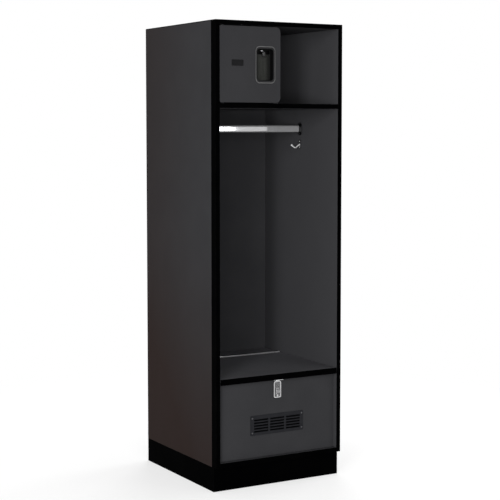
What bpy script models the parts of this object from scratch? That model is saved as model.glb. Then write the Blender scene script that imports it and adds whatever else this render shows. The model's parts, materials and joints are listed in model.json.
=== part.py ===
import bmesh
import bpy
from math import cos, pi, radians, sin, tan
from mathutils import Matrix, Vector

# Open-front wood locker: hanging bay, seat with a foot locker under it, small security door above.
# Lengths are in metres and angles in degrees. Width is along X, the front faces -Y, Z is up,
# and the origin is on the floor, in the middle of the plan.

# Overall size
overall_width = 0.610
overall_depth = 0.640
overall_height = 1.930

# Boards, bands and trims
board_thickness = 0.019
back_thickness = 0.019
rail_thickness = 0.019
rail_height = 0.090
plinth_height = 0.102
plinth_setback = 0.023
front_band_thickness = 0.002
outer_band_thickness = 0.003
trim_thickness = 0.002
trim_outer_width = 0.0377
board_ease = 0.0005

# Fits
seat_gap = 0.0003
overrun = 0.003
weld_distance = 0.00001

# Heights of the bays
security_clear_height = 0.315
seat_top = 0.4695

# Security door and its divider
security_clear_width = 0.268
door_thickness = 0.019
door_face_recess = 0.0025
door_side_gap = 0.002
door_end_gap = 0.0035
door_hinge_side_radius = 0.0055
door_free_side_radius = 0.020
door_ease = 0.0008
door_axis_from_edge = 0.015
door_axis_from_face = 0.007
bumper_thickness = 0.0014
bumper_radius = 0.004
door_bumper_from_end = 0.034

# Pivot pins and bushes of the security door
pivot_pin_radius = 0.0025
pivot_pin_rise = 0.0075
pivot_tail_length = 0.012
pivot_flange_radius = 0.005
pivot_flange_thickness = 0.0015
bush_radius = 0.0045
bush_depth = 0.009
bush_collar_radius = 0.0058

# Recessed finger cup
cup_from_free_edge = 0.0724
cup_pocket_width = 0.079
cup_pocket_height = 0.130
cup_pocket_radius = 0.012
cup_depth = 0.0265
cup_wall = 0.002
cup_draft = 0.0015
cup_fillet = 0.003
cup_rim_side = 0.0075
cup_rim_end = 0.011
cup_rim_height = 0.002
cup_rim_edge = 0.0009
cup_fit_gap = 0.0005

# Lift latch behind the cup
latch_travel = 0.006
latch_engagement = 0.0045
latch_running_gap = 0.0005
trigger_width = 0.012
trigger_thickness = 0.0025
trigger_reach = 0.0150
trigger_drop = 0.0145
trigger_bend_radius = 0.004
trigger_lip = 0.003
trigger_ceiling_gap = 0.003
slide_thickness = 0.002
slide_width = 0.022
slide_head = 0.005
slide_length = 0.088
arm_from_top = 0.036
arm_height = 0.018
nose_gap = 0.0055
nose_chamfer = 0.004
guide_thickness = 0.0012
guide_height = 0.010
guide_flange = 0.010
upper_guide_from_top = 0.016
lower_guide_from_top = 0.064
keeper_thickness = 0.0015
keeper_lip = 0.012
keeper_length = 0.028
keeper_height = 0.0245
keeper_front_gap = 0.0012

# Number plate
number_plate_width = 0.054
number_plate_height = 0.025
number_plate_thickness = 0.0012
number_plate_radius = 0.002
number_plate_from_hinge_edge = 0.082
number_plate_above_middle = 0.006
number_plate_ease = 0.0004

# Seat, its continuous hinge and its supports
seat_thickness = 0.025
seat_strip_depth = 0.135
seat_side_gap = 0.002
seat_bumper_thickness = 0.0015
seat_bumper_from_side = 0.056
cleat_thickness = 0.019
cleat_height = 0.038
hinge_end_gap = 0.004
hinge_knuckles = 18
hinge_barrel_radius = 0.0026
hinge_bore_radius = 0.0014
hinge_pin_radius = 0.0011
hinge_leaf_thickness = 0.0012
hinge_leaf_depth = 0.0195
hinge_knuckle_gap = 0.0002
hinge_notch_gap = 0.0004

# Foot locker front and its vent
front_panel_setback = 0.025
vent_width = 0.258
vent_height = 0.084
vent_radius = 0.004
vent_level = 0.256
vent_flange = 0.0025
vent_flange_ease = 0.0008
vent_collar_depth = 0.0055
vent_collar_margin = 0.003
vent_fit_gap = 0.001
louvre_columns = 3
louvre_rows = 5
louvre_width = 0.069
louvre_mullion = 0.009
louvre_pitch = 0.012
louvre_opening = 0.0078
louvre_rise = 0.0046
vent_screw_side = 0.0079
vent_screw_end = 0.011

# Hasp
hasp_width = 0.0355
hasp_height = 0.0725
hasp_top_radius = 0.007
hasp_foot_radius = 0.005
hasp_thickness = 0.002
hasp_ease = 0.0006
hasp_axis_gap = 0.0045
hasp_barrel_radius = 0.003
hasp_bore_radius = 0.0016
hasp_pin_radius = 0.0013
hasp_knuckle_width = 0.012
hasp_knuckles = 3
hasp_leaf_thickness = 0.002
hasp_leaf_front_gap = 0.0025
hasp_notch_gap = 0.0005
hasp_neck = 0.0037
hasp_slot_width = 0.008
hasp_slot_height = 0.025
hasp_slot_from_foot = 0.027
hasp_button_radius = 0.004
hasp_button_height = 0.002
hasp_button_from_foot = 0.0085
staple_wire_radius = 0.0025
staple_half_span = 0.0075
staple_reach = 0.0095
staple_plate_width = 0.024
staple_plate_height = 0.046
staple_plate_thickness = 0.0015
staple_plate_radius = 0.005

# Coat rod and its wall flanges
rod_height = 0.030
rod_depth = 0.015
rod_wall = 0.0012
rod_below_shelf = 0.0845
rod_fit_gap = 0.0003
rod_sides_per_quarter = 5
flange_width = 0.034
flange_height = 0.056
flange_thickness = 0.003
flange_ease = 0.0008
socket_wall = 0.002
socket_depth = 0.010

# Coat hooks
hook_below_rod = 0.070
hook_plate_width = 0.016
hook_plate_height = 0.038
hook_plate_thickness = 0.0025
hook_plate_ease = 0.0007
hook_reach = 0.044
hook_drop = 0.013
hook_slope = 38
hook_neck_radius = 0.008
hook_bend_radius = 0.011
hook_wire_radius = 0.0032
hook_ball_radius = 0.0048
hook_above_plate_middle = 0.002

# Screws
screw_head_radius = 0.0036
screw_head_height = 0.0019
screw_shank_radius = 0.0016
screw_shank_length = 0.011
screw_hole_gap = 0.0003
small_shank_radius = 0.0012
flange_screw_share = 0.80
hook_screw_share = 0.66
staple_screw_share = 0.74
keeper_screw_height_share = 0.5
keeper_screw_depth_shares = (0.45, 0.82)

# Shapes of a dome and of the cup's rim, and steps of rounded shapes
dome_radius_shares = (0.55, 0.90)
dome_height_shares = (0.94, 0.60)
rim_crown_shares = (0.22, 0.72)
rim_lip_share = 0.35
corner_steps = 5
slot_steps = 4
screw_sides = 10
barrel_sides = 12
wire_resolution = 2
hook_steps = 6
ball_rings = 8
ball_segments = 14
smooth_angle = 35
ease_angle = 50
axis_display_size = 0.05

# Places worked out from the sizes
half_width = overall_width / 2
inner_half = half_width - board_thickness
front = -overall_depth / 2
rear = overall_depth / 2
carcass_front = front + front_band_thickness + seat_gap
back_front = rear - rail_thickness - seat_gap - back_thickness
floor_top = plinth_height + board_thickness
ceiling = overall_height - board_thickness
shelf_top = ceiling - security_clear_height
shelf_bottom = shelf_top - board_thickness
rod_level = shelf_bottom - rod_below_shelf
hook_level = rod_level - hook_below_rod
bay_middle_depth = (front + back_front) / 2

door_left = -inner_half + door_side_gap
door_width = security_clear_width + board_thickness - door_side_gap
door_right = door_left + door_width
door_bottom = shelf_top + door_end_gap
door_top = ceiling - door_end_gap
door_height = door_top - door_bottom
door_middle = (door_top + door_bottom) / 2
door_front = front + door_face_recess
door_back = door_front + door_thickness
divider_left = -inner_half + security_clear_width
divider_right = divider_left + board_thickness
divider_front = door_back + bumper_thickness + seat_gap + seat_gap
door_axis_place = (door_left + door_axis_from_edge, door_front + door_axis_from_face, door_middle)

cup_x = door_right - cup_from_free_edge
cup_floor = door_front + cup_depth
cup_back = cup_floor + cup_wall
trigger_top = door_middle + cup_pocket_height / 2 - trigger_ceiling_gap - latch_travel
slide_front = cup_back + latch_running_gap
slide_back = slide_front + slide_thickness
slide_top = trigger_top + slide_head
arm_top = slide_top - arm_from_top
arm_bottom = arm_top - arm_height
nose_tip = divider_left - nose_gap
keeper_top = arm_bottom + latch_engagement
latch_axis_place = (cup_x, slide_front, trigger_top)

seat_bottom = seat_top - seat_thickness
hinge_depth = back_front - seat_strip_depth
hinge_level = seat_top + seat_gap + hinge_barrel_radius
hinge_half_length = inner_half - hinge_end_gap
hinge_side = seat_gap + hinge_leaf_thickness + seat_gap
lid_axis_place = (0, hinge_depth, hinge_level)
cleat_top = seat_bottom - seat_gap
front_panel_face = front + front_panel_setback
front_panel_back = front_panel_face + board_thickness
front_panel_top = seat_bottom - seat_gap - seat_bumper_thickness - seat_gap

hasp_depth = front_panel_face - hasp_axis_gap
hasp_level = seat_bottom - seat_gap - hasp_barrel_radius
hasp_top = hasp_level - hasp_neck
hasp_foot = hasp_top - hasp_height
hasp_axis_place = (0, hasp_depth, hasp_level)
staple_level = hasp_foot + hasp_slot_from_foot

# How local axes turn: a flat shape drawn in XY stands up facing the front, or runs across the locker
facing_front = (pi / 2, 0, 0)
facing_side = (pi / 2, 0, pi / 2)
lying_flat = (0, 0, 0)
outward_turns = {
    "front": Matrix.Rotation(pi / 2, 4, "X"),
    "rear": Matrix.Rotation(-pi / 2, 4, "X"),
    "right": Matrix.Rotation(pi / 2, 4, "Y"),
    "left": Matrix.Rotation(-pi / 2, 4, "Y"),
}

for old in list(bpy.data.objects):
    bpy.data.objects.remove(old, do_unlink=True)

locker = bpy.data.collections.new("open_front_wood_locker")
guides = bpy.data.collections.new("cutters_and_guides")
bpy.context.scene.collection.children.link(locker)
bpy.context.scene.collection.children.link(guides)
axis_places = {}


def make_finish(name, colour, roughness, metallic):
    finish = bpy.data.materials.new(name)
    finish.use_nodes = True
    shader = finish.node_tree.nodes["Principled BSDF"]
    shader.inputs["Base Color"].default_value = (*colour, 1)
    shader.inputs["Roughness"].default_value = roughness
    shader.inputs["Metallic"].default_value = metallic
    return finish


grey_laminate = make_finish("grey_laminate", (0.040, 0.040, 0.042), 0.55, 0)
black_laminate = make_finish("black_laminate", (0.006, 0.006, 0.006), 0.50, 0)
black_banding = make_finish("black_banding", (0.005, 0.005, 0.005), 0.40, 0)
bare_batten = make_finish("grey_batten", (0.035, 0.034, 0.034), 0.65, 0)
chrome_plate = make_finish("chrome_plate", (0.62, 0.62, 0.63), 0.12, 1)
steel_plate = make_finish("zinc_plated_steel", (0.45, 0.45, 0.46), 0.35, 1)
cup_plastic = make_finish("cup_plastic", (0.055, 0.056, 0.058), 0.40, 0)
black_plastic = make_finish("black_plastic", (0.018, 0.018, 0.020), 0.45, 0)
dark_nylon = make_finish("dark_nylon", (0.016, 0.016, 0.017), 0.45, 0)
black_steel = make_finish("blackened_steel", (0.035, 0.035, 0.037), 0.40, 1)
dark_rubber = make_finish("dark_rubber", (0.020, 0.020, 0.020), 0.85, 0)


def carry(piece, axis):
    # Parents a piece to the empty on its joint's axis and keeps it where it was
    piece.parent = axis
    piece.location = Vector(piece.location) - axis_places[axis.name]


def add_axis(name, place, parent=None):
    axis = bpy.data.objects.new(name, None)
    axis.empty_display_size = axis_display_size
    locker.objects.link(axis)
    axis_places[name] = Vector(place)
    axis.location = place
    if parent is not None:
        carry(axis, parent)
    return axis


def add_piece(name, mesh, finish, place=(0, 0, 0), turn=lying_flat, axis=None):
    mesh.materials.clear()
    mesh.materials.append(finish)
    piece = bpy.data.objects.new(name, mesh)
    locker.objects.link(piece)
    piece.location = place
    piece.rotation_euler = turn
    if axis is not None:
        carry(piece, axis)
    return piece


def add_guide(name, mesh, place=(0, 0, 0), turn=lying_flat, axis=None):
    guide = bpy.data.objects.new(name, mesh)
    guides.objects.link(guide)
    guide.location = place
    guide.rotation_euler = turn
    guide.hide_render = True
    guide.display_type = "WIRE"
    if axis is not None:
        carry(guide, axis)
    return guide


def combine(piece, guide, operation):
    step = piece.modifiers.new(operation.title() + " " + guide.name, "BOOLEAN")
    step.operation = operation
    step.solver = "EXACT"
    step.object = guide


def cut(piece, guide):
    combine(piece, guide, "DIFFERENCE")


def join(piece, guide):
    combine(piece, guide, "UNION")


def ease(piece, width, segments=1):
    step = piece.modifiers.new("Eased edges", "BEVEL")
    step.width = width
    step.segments = segments
    step.limit_method = "ANGLE"
    step.angle_limit = radians(ease_angle)


def shade_round(mesh):
    mesh.shade_smooth()
    mesh.set_sharp_from_angle(angle=radians(smooth_angle))


def tidied(mesh):
    # Welds the caps of a converted curve or turned profile and points its faces outward
    shape = bmesh.new()
    shape.from_mesh(mesh)
    bmesh.ops.remove_doubles(shape, verts=shape.verts, dist=weld_distance)
    bmesh.ops.recalc_face_normals(shape, faces=shape.faces)
    shape.to_mesh(mesh)
    shape.free()
    return mesh


def converted(name, data, add_steps=None):
    # The evaluated mesh of a curve, or of a profile with its modifiers
    source = bpy.data.objects.new(name, data)
    guides.objects.link(source)
    if add_steps is not None:
        add_steps(source)
    bpy.context.view_layer.update()
    evaluated = source.evaluated_get(bpy.context.evaluated_depsgraph_get())
    mesh = bpy.data.meshes.new_from_object(evaluated)
    mesh.name = name
    bpy.data.objects.remove(source, do_unlink=True)
    return tidied(mesh)


def box_mesh(name, size):
    mesh = bpy.data.meshes.new(name)
    shape = bmesh.new()
    bmesh.ops.create_cube(shape, size=1)
    bmesh.ops.scale(shape, vec=size, verts=shape.verts)
    shape.to_mesh(mesh)
    shape.free()
    return mesh


def middle_and_size(x_span, y_span, z_span):
    spans = (x_span, y_span, z_span)
    middle = [(low + high) / 2 for low, high in spans]
    size = [high - low for low, high in spans]
    return middle, size


def add_board(name, x_span, y_span, z_span, finish, axis=None, eased=board_ease):
    middle, size = middle_and_size(x_span, y_span, z_span)
    board = add_piece(name, box_mesh(name, size), finish, middle, lying_flat, axis)
    if eased:
        ease(board, eased)
    return board


def add_box_guide(name, x_span, y_span, z_span, axis=None):
    middle, size = middle_and_size(x_span, y_span, z_span)
    return add_guide(name, box_mesh(name, size), middle, lying_flat, axis)


def cylinder_mesh(name, radius, length, sides):
    # A round bar along its own Z, centred
    mesh = bpy.data.meshes.new(name)
    shape = bmesh.new()
    bmesh.ops.create_cone(
        shape, cap_ends=True, segments=sides, radius1=radius, radius2=radius, depth=length
    )
    shape.to_mesh(mesh)
    shape.free()
    shade_round(mesh)
    return mesh


def turned_mesh(name, profile, sides, closed=False):
    # Profile points are (radius, height), running down the outer side
    last = len(profile)
    edges = [(index, (index + 1) % last) for index in range(last if closed else last - 1)]
    outline = bpy.data.meshes.new(name + "_profile")
    outline.from_pydata([(radius, 0, height) for radius, height in profile], edges, [])

    def add_screw(source):
        step = source.modifiers.new("Turned", "SCREW")
        step.steps = sides
        step.render_steps = sides
        step.use_merge_vertices = True
        step.merge_threshold = weld_distance

    mesh = converted(name, outline, add_screw)
    shade_round(mesh)
    return mesh


def flat_mesh(name, outlines, thickness):
    # A plate drawn in XY with any holes, its thickness centred on Z
    curve = bpy.data.curves.new(name, "CURVE")
    curve.dimensions = "2D"
    curve.fill_mode = "BOTH"
    curve.extrude = thickness / 2
    for outline in outlines:
        spline = curve.splines.new("POLY")
        spline.points.add(len(outline) - 1)
        for point, (u, v) in zip(spline.points, outline):
            point.co = (u, v, 0, 1)
        spline.use_cyclic_u = True
    return converted(name, curve)


def wire_mesh(name, route, radius):
    curve = bpy.data.curves.new(name, "CURVE")
    curve.dimensions = "3D"
    curve.bevel_depth = radius
    curve.bevel_resolution = wire_resolution
    curve.use_fill_caps = True
    spline = curve.splines.new("POLY")
    spline.points.add(len(route) - 1)
    for point, place in zip(spline.points, route):
        point.co = (*place, 1)
    mesh = converted(name, curve)
    shade_round(mesh)
    return mesh


def grouped_mesh(name, mesh, places):
    # The same solid at several places, as separate bodies of one mesh
    shape = bmesh.new()
    for place in places:
        first = len(shape.verts)
        shape.from_mesh(mesh)
        shape.verts.ensure_lookup_table()
        bmesh.ops.transform(shape, matrix=place, verts=shape.verts[first:])
    group = bpy.data.meshes.new(name)
    shape.to_mesh(group)
    shape.free()
    shade_round(group)
    return group


def arc(centre, radius, start, end, steps):
    # Points of an arc between two angles in degrees, both ends included
    points = []
    for step in range(steps + 1):
        angle = radians(start + (end - start) * step / steps)
        points.append((centre[0] + radius * cos(angle), centre[1] + radius * sin(angle)))
    return points


def rounded_outline(width, height, radii, steps=corner_steps, centre=(0, 0)):
    # Radii go round from the upper right corner, anticlockwise
    corners = ((1, 1), (-1, 1), (-1, -1), (1, -1))
    points = []
    for index, ((side, end), radius) in enumerate(zip(corners, radii)):
        middle = (
            centre[0] + side * (width / 2 - radius),
            centre[1] + end * (height / 2 - radius),
        )
        start = 90 * index
        points += arc(middle, radius, start, start + 90, steps)
    return points


def circle(radius, sides):
    return arc((0, 0), radius, 0, 360 - 360 / sides, sides - 1)


def comb_outline(half_length, knuckles, own, back_level, notch_level, tab_level, gap):
    # A hinge leaf: its plate, with a tab up to each of its own knuckles
    pitch = 2 * half_length / knuckles
    points = [(-half_length, back_level), (half_length, back_level), (half_length, notch_level)]
    for index in sorted(own, reverse=True):
        left = -half_length + pitch * index + gap
        right = -half_length + pitch * (index + 1) - gap
        points += [(right, notch_level), (right, tab_level), (left, tab_level), (left, notch_level)]
    points.append((-half_length, notch_level))
    return points


def barrel_guide(name, half_length, knuckles, own, outer_radius, bore_radius, gap, place, axis):
    # The knuckles of one leaf, along X
    pitch = 2 * half_length / knuckles
    outlines = [circle(outer_radius, barrel_sides), circle(bore_radius, barrel_sides)]
    knuckle = flat_mesh(name + "_knuckle", outlines, pitch - gap - gap)
    along = Matrix.Rotation(pi / 2, 4, "Y")
    places = []
    for index in own:
        middle = -half_length + pitch * (index + 1 / 2)
        places.append(Matrix.Translation((middle, 0, 0)) @ along)
    return add_guide(name, grouped_mesh(name, knuckle, places), place, lying_flat, axis)


def domed_profile(radius, height):
    # The outer part of a low dome's profile, from its top to its edge
    profile = [(0, height)]
    for radius_share, height_share in zip(dome_radius_shares, dome_height_shares):
        profile.append((radius * radius_share, height * height_share))
    return profile + [(radius, 0)]


def screw_profile():
    shank_end = -screw_shank_length
    shank = [(screw_shank_radius, 0), (screw_shank_radius, shank_end), (0, shank_end)]
    return domed_profile(screw_head_radius, screw_head_height) + shank


def drill(name, places, radius, depth, held, axis=None):
    # Screw holes; places have +Z out of the face that the screw heads bear on
    hole_length = depth + overrun
    hole = cylinder_mesh(name, radius + screw_hole_gap, hole_length, screw_sides)
    drop = Matrix.Translation((0, 0, overrun - hole_length / 2))
    holes = grouped_mesh(name, hole, [place @ drop for place in places])
    guide = add_guide(name, holes, (0, 0, 0), lying_flat, axis)
    for piece in held:
        cut(piece, guide)


def faced(place, side):
    return Matrix.Translation(place) @ outward_turns[side]


def mirrored_spans(span):
    # The same span on the left and on the right of the locker
    low, high = span
    return {"left": (-high, -low), "right": (low, high)}


# Joint axes: each moving piece is parented to the empty on its own axis
door_axis = add_axis("door_axis", door_axis_place)
latch_axis = add_axis("latch_axis", latch_axis_place, door_axis)
lid_axis = add_axis("lid_axis", lid_axis_place)
hasp_axis = add_axis("hasp_axis", hasp_axis_place, lid_axis)


def build_plinth():
    top = plinth_height
    plinth_front = front + plinth_setback
    add_board("plinth_front", (-half_width, half_width),
              (plinth_front, plinth_front + board_thickness), (0, top), black_laminate)
    side_span = (plinth_front + board_thickness + seat_gap, rear)
    for side, x_span in mirrored_spans((inner_half, half_width)).items():
        add_board("plinth_" + side, x_span, side_span, (0, top), black_laminate)
    add_board("plinth_back", (-inner_half + seat_gap, inner_half - seat_gap),
              (rear - board_thickness, rear), (0, top), black_laminate)


def build_side(side, x_span):
    # A side board with a rebate for the front trim, its thick band on the back and top edges
    low, high = x_span
    bottom = plinth_height + seat_gap
    band_inner_top = overall_height - outer_band_thickness
    band_inner_rear = rear - outer_band_thickness
    board = add_board("side_panel_" + side, x_span,
                      (front + trim_thickness + seat_gap, band_inner_rear - seat_gap),
                      (bottom, band_inner_top - seat_gap), grey_laminate)
    start = front + trim_thickness + seat_gap
    outline = [
        (rear, bottom), (rear, overall_height), (start, overall_height),
        (start, band_inner_top), (band_inner_rear, band_inner_top), (band_inner_rear, bottom),
    ]
    band = add_piece("side_edge_band_" + side,
                     flat_mesh("side_edge_band_" + side, [outline], board_thickness),
                     black_banding, ((low + high) / 2, 0, 0), facing_side)
    outer, inner = (low, high) if side == "left" else (high, low)
    away = 1 if outer < inner else -1
    leg_inner = outer + away * trim_thickness
    leg_end = front + trim_outer_width
    cover_end = front + trim_thickness
    trim_outline = [(outer, front), (inner, front), (inner, cover_end), (leg_inner, cover_end),
                    (leg_inner, leg_end), (outer, leg_end)]
    middle = (bottom + overall_height) / 2
    add_piece("front_trim_" + side,
              flat_mesh("front_trim_" + side, [trim_outline], overall_height - bottom),
              black_banding, (0, 0, middle))
    rebate_x = sorted((outer - away * overrun, leg_inner + away * seat_gap))
    rebate = add_box_guide("rebate_" + side, rebate_x, (front, leg_end + seat_gap),
                           (bottom - overrun, overall_height + overrun))
    cut(board, rebate)
    cut(band, rebate)


def build_carcass():
    for side, x_span in mirrored_spans((inner_half, half_width)).items():
        build_side(side, x_span)
    between = (-inner_half + seat_gap, inner_half - seat_gap)
    add_board("bottom_panel", between, (carcass_front, rear),
              (plinth_height + seat_gap, floor_top), grey_laminate)
    top = add_board("top_panel", between, (carcass_front, rear), (ceiling, overall_height),
                    grey_laminate)
    shelf = add_board("upper_shelf", between, (carcass_front, back_front - seat_gap),
                      (shelf_bottom, shelf_top), grey_laminate)
    add_board("back_panel", between, (back_front, back_front + back_thickness),
              (floor_top + seat_gap, ceiling - seat_gap), grey_laminate)
    rail_span = (back_front + back_thickness + seat_gap, rear)
    add_board("hanging_rail_upper", between, rail_span,
              (ceiling - seat_gap - rail_height, ceiling - seat_gap), bare_batten)
    add_board("hanging_rail_lower", between, rail_span,
              (floor_top + seat_gap, floor_top + seat_gap + rail_height), bare_batten)
    band_depth = (front, front + front_band_thickness)
    for name, z_span in (
        ("bottom_edge_band", (plinth_height + seat_gap, floor_top)),
        ("top_edge_band", (ceiling, overall_height)),
        ("shelf_edge_band", (shelf_bottom, shelf_top)),
    ):
        add_board(name, between, band_depth, z_span, black_banding, eased=0)
    add_board("security_divider", (divider_left, divider_right),
              (divider_front, back_front - seat_gap),
              (shelf_top + seat_gap, ceiling - seat_gap), grey_laminate)
    return top, shelf


def build_coat_rod():
    for side, away in (("left", -1), ("right", 1)):
        wall = away * inner_half
        plate_x = wall - away * (seat_gap + flange_thickness / 2)
        place = (plate_x, bay_middle_depth, rod_level)
        plate_radius = flange_width / 2 - seat_gap
        plate = flat_mesh("rod_flange_" + side,
                          [rounded_outline(flange_width, flange_height, (plate_radius,) * 4)],
                          flange_thickness)
        flange = add_piece("rod_flange_" + side, plate, chrome_plate, place, facing_side)
        ease(flange, flange_ease)
        inner_size = (rod_depth + 2 * rod_fit_gap, rod_height + 2 * rod_fit_gap)
        outer_size = (inner_size[0] + 2 * socket_wall, inner_size[1] + 2 * socket_wall)
        outlines = []
        for width, height in (outer_size, inner_size):
            radius = width / 2 - weld_distance
            outlines.append(rounded_outline(width, height, (radius,) * 4, rod_sides_per_quarter))
        socket_x = plate_x - away * socket_depth / 2
        tube_wall = flat_mesh("rod_socket_" + side, outlines, socket_depth)
        socket = add_guide("rod_socket_" + side, tube_wall, (socket_x, bay_middle_depth, rod_level),
                           facing_side)
        join(flange, socket)
        half_screws = flange_height / 2 * flange_screw_share
        face_x = wall - away * (seat_gap + flange_thickness)
        inward = "right" if away < 0 else "left"
        places = [faced((face_x, bay_middle_depth, rod_level + way * half_screws), inward)
                  for way in (1, -1)]
        drill("rod_flange_holes_" + side, places, screw_shank_radius, flange_thickness + overrun,
              [flange])
    rod_length = 2 * (inner_half - seat_gap - flange_thickness - seat_gap)
    outlines = []
    for inset in (0, rod_wall):
        width = rod_depth - 2 * inset
        height = rod_height - 2 * inset
        radius = width / 2 - weld_distance
        outlines.append(rounded_outline(width, height, (radius,) * 4, rod_sides_per_quarter))
    tube = flat_mesh("coat_rod", outlines, rod_length)
    shade_round(tube)
    add_piece("coat_rod", tube, chrome_plate, (0, bay_middle_depth, rod_level), facing_side)


def prong_route():
    # Distance from the wall and height: out of the plate, down a slope, round the bend and up to the tip
    slope = radians(hook_slope)
    root = seat_gap + hook_plate_thickness
    neck = arc((root, -hook_neck_radius), hook_neck_radius, 90, 90 - hook_slope, slot_steps)
    neck_reach, neck_rise = neck[-1]
    bend_level = hook_bend_radius - hook_drop
    bend_start = bend_level - hook_bend_radius * cos(slope)
    run = (neck_rise - bend_start) / tan(slope)
    bend_middle = (neck_reach + run + hook_bend_radius * sin(slope), bend_level)
    bend = arc(bend_middle, hook_bend_radius, 270 - hook_slope, 270 + hook_slope, hook_steps)
    bend_reach, bend_rise = bend[-1]
    tip = (hook_reach, bend_rise + (hook_reach - bend_reach) * tan(slope))
    return [(root - hook_plate_thickness / 2, 0)] + neck + bend + [tip]


def build_coat_hook(side, away):
    # A wall plate with one curved prong and a ball on its tip
    wall = away * inner_half
    plate_level = hook_level + hook_above_plate_middle
    plate_x = wall - away * (seat_gap + hook_plate_thickness / 2)
    plate_radius = hook_plate_width / 2 - weld_distance
    outline = rounded_outline(hook_plate_width, hook_plate_height, (plate_radius,) * 4)
    plate = flat_mesh("coat_hook_" + side, [outline], hook_plate_thickness)
    hook = add_piece("coat_hook_" + side, plate, chrome_plate, (plate_x, bay_middle_depth, plate_level),
                     facing_side)
    ease(hook, hook_plate_ease)
    route = [(wall - away * reach, bay_middle_depth, hook_level + rise) for reach, rise in prong_route()]
    prong = add_guide("hook_prong_" + side, wire_mesh("hook_prong_" + side, route, hook_wire_radius))
    join(hook, prong)
    ball_mesh = bpy.data.meshes.new("hook_ball_" + side)
    shape = bmesh.new()
    bmesh.ops.create_uvsphere(
        shape, u_segments=ball_segments, v_segments=ball_rings, radius=hook_ball_radius
    )
    shape.to_mesh(ball_mesh)
    shape.free()
    shade_round(ball_mesh)
    join(hook, add_guide("hook_ball_" + side, ball_mesh, route[-1]))
    half_screws = hook_plate_height / 2 * hook_screw_share
    face_x = wall - away * (seat_gap + hook_plate_thickness)
    inward = "right" if away < 0 else "left"
    places = [faced((face_x, bay_middle_depth, plate_level + way * half_screws), inward)
              for way in (1, -1)]
    drill("coat_hook_holes_" + side, places, small_shank_radius, hook_plate_thickness + overrun, [hook])


def build_seat_supports():
    sides = mirrored_spans((inner_half - seat_gap - cleat_thickness, inner_half - seat_gap))
    z_span = (cleat_top - cleat_height, cleat_top)
    rear_face = back_front - seat_gap
    for side, x_span in sides.items():
        add_board("seat_cleat_" + side, x_span, (front_panel_back + seat_gap, rear_face), z_span,
                  bare_batten)
    inner = inner_half - seat_gap - cleat_thickness - seat_gap
    add_board("seat_cleat_rear", (-inner, inner), (rear_face - cleat_thickness, rear_face), z_span,
              bare_batten)
    add_board("seat_rear_strip", (-inner_half + seat_gap, inner_half - seat_gap),
              (hinge_depth + hinge_side, rear_face), (seat_bottom, seat_top), grey_laminate)
    bumper = cylinder_mesh("seat_bumper", bumper_radius, seat_bumper_thickness, barrel_sides)
    level = front_panel_top + seat_gap + seat_bumper_thickness / 2
    depth = (front_panel_face + front_panel_back) / 2
    offset = inner_half - seat_bumper_from_side
    for side, way in (("left", -1), ("right", 1)):
        add_piece("seat_bumper_" + side, bumper, dark_rubber, (way * offset, depth, level))


def hinge_leaf(name, own, toward, axis):
    # Toward is -1 for the lid's leaf and 1 for the fixed one
    notch = -hinge_barrel_radius - hinge_notch_gap
    tab = -(hinge_bore_radius + hinge_barrel_radius - hinge_knuckle_gap) / 2
    outline = comb_outline(hinge_half_length, hinge_knuckles, own, -hinge_leaf_depth, notch, tab,
                           hinge_knuckle_gap)
    offset = toward * (seat_gap + hinge_leaf_thickness / 2)
    leaf = add_piece(name, flat_mesh(name, [outline], hinge_leaf_thickness), chrome_plate,
                     (0, hinge_depth + offset, hinge_level), facing_front, axis)
    barrel = barrel_guide(name + "_barrel", hinge_half_length, hinge_knuckles, own, hinge_barrel_radius,
                          hinge_bore_radius, hinge_knuckle_gap, lid_axis_place, axis)
    join(leaf, barrel)


def build_seat_hinge():
    fixed = range(0, hinge_knuckles, 2)
    moving = range(1, hinge_knuckles, 2)
    hinge_leaf("hinge_fixed_leaf", fixed, 1, None)
    hinge_leaf("hinge_moving_leaf", moving, -1, lid_axis)
    pin = cylinder_mesh("hinge_pin", hinge_pin_radius, 2 * hinge_half_length, barrel_sides)
    add_piece("hinge_pin", pin, steel_plate, lid_axis_place, (0, pi / 2, 0))


def build_lid():
    half = inner_half - seat_side_gap
    add_board("seat_lid_panel", (-half, half), (carcass_front, hinge_depth - hinge_side),
              (seat_bottom, seat_top), grey_laminate, lid_axis)
    add_board("seat_edge_band", (-half, half), (front, front + front_band_thickness),
              (seat_bottom, seat_top), black_banding, lid_axis, eased=0)


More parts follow.
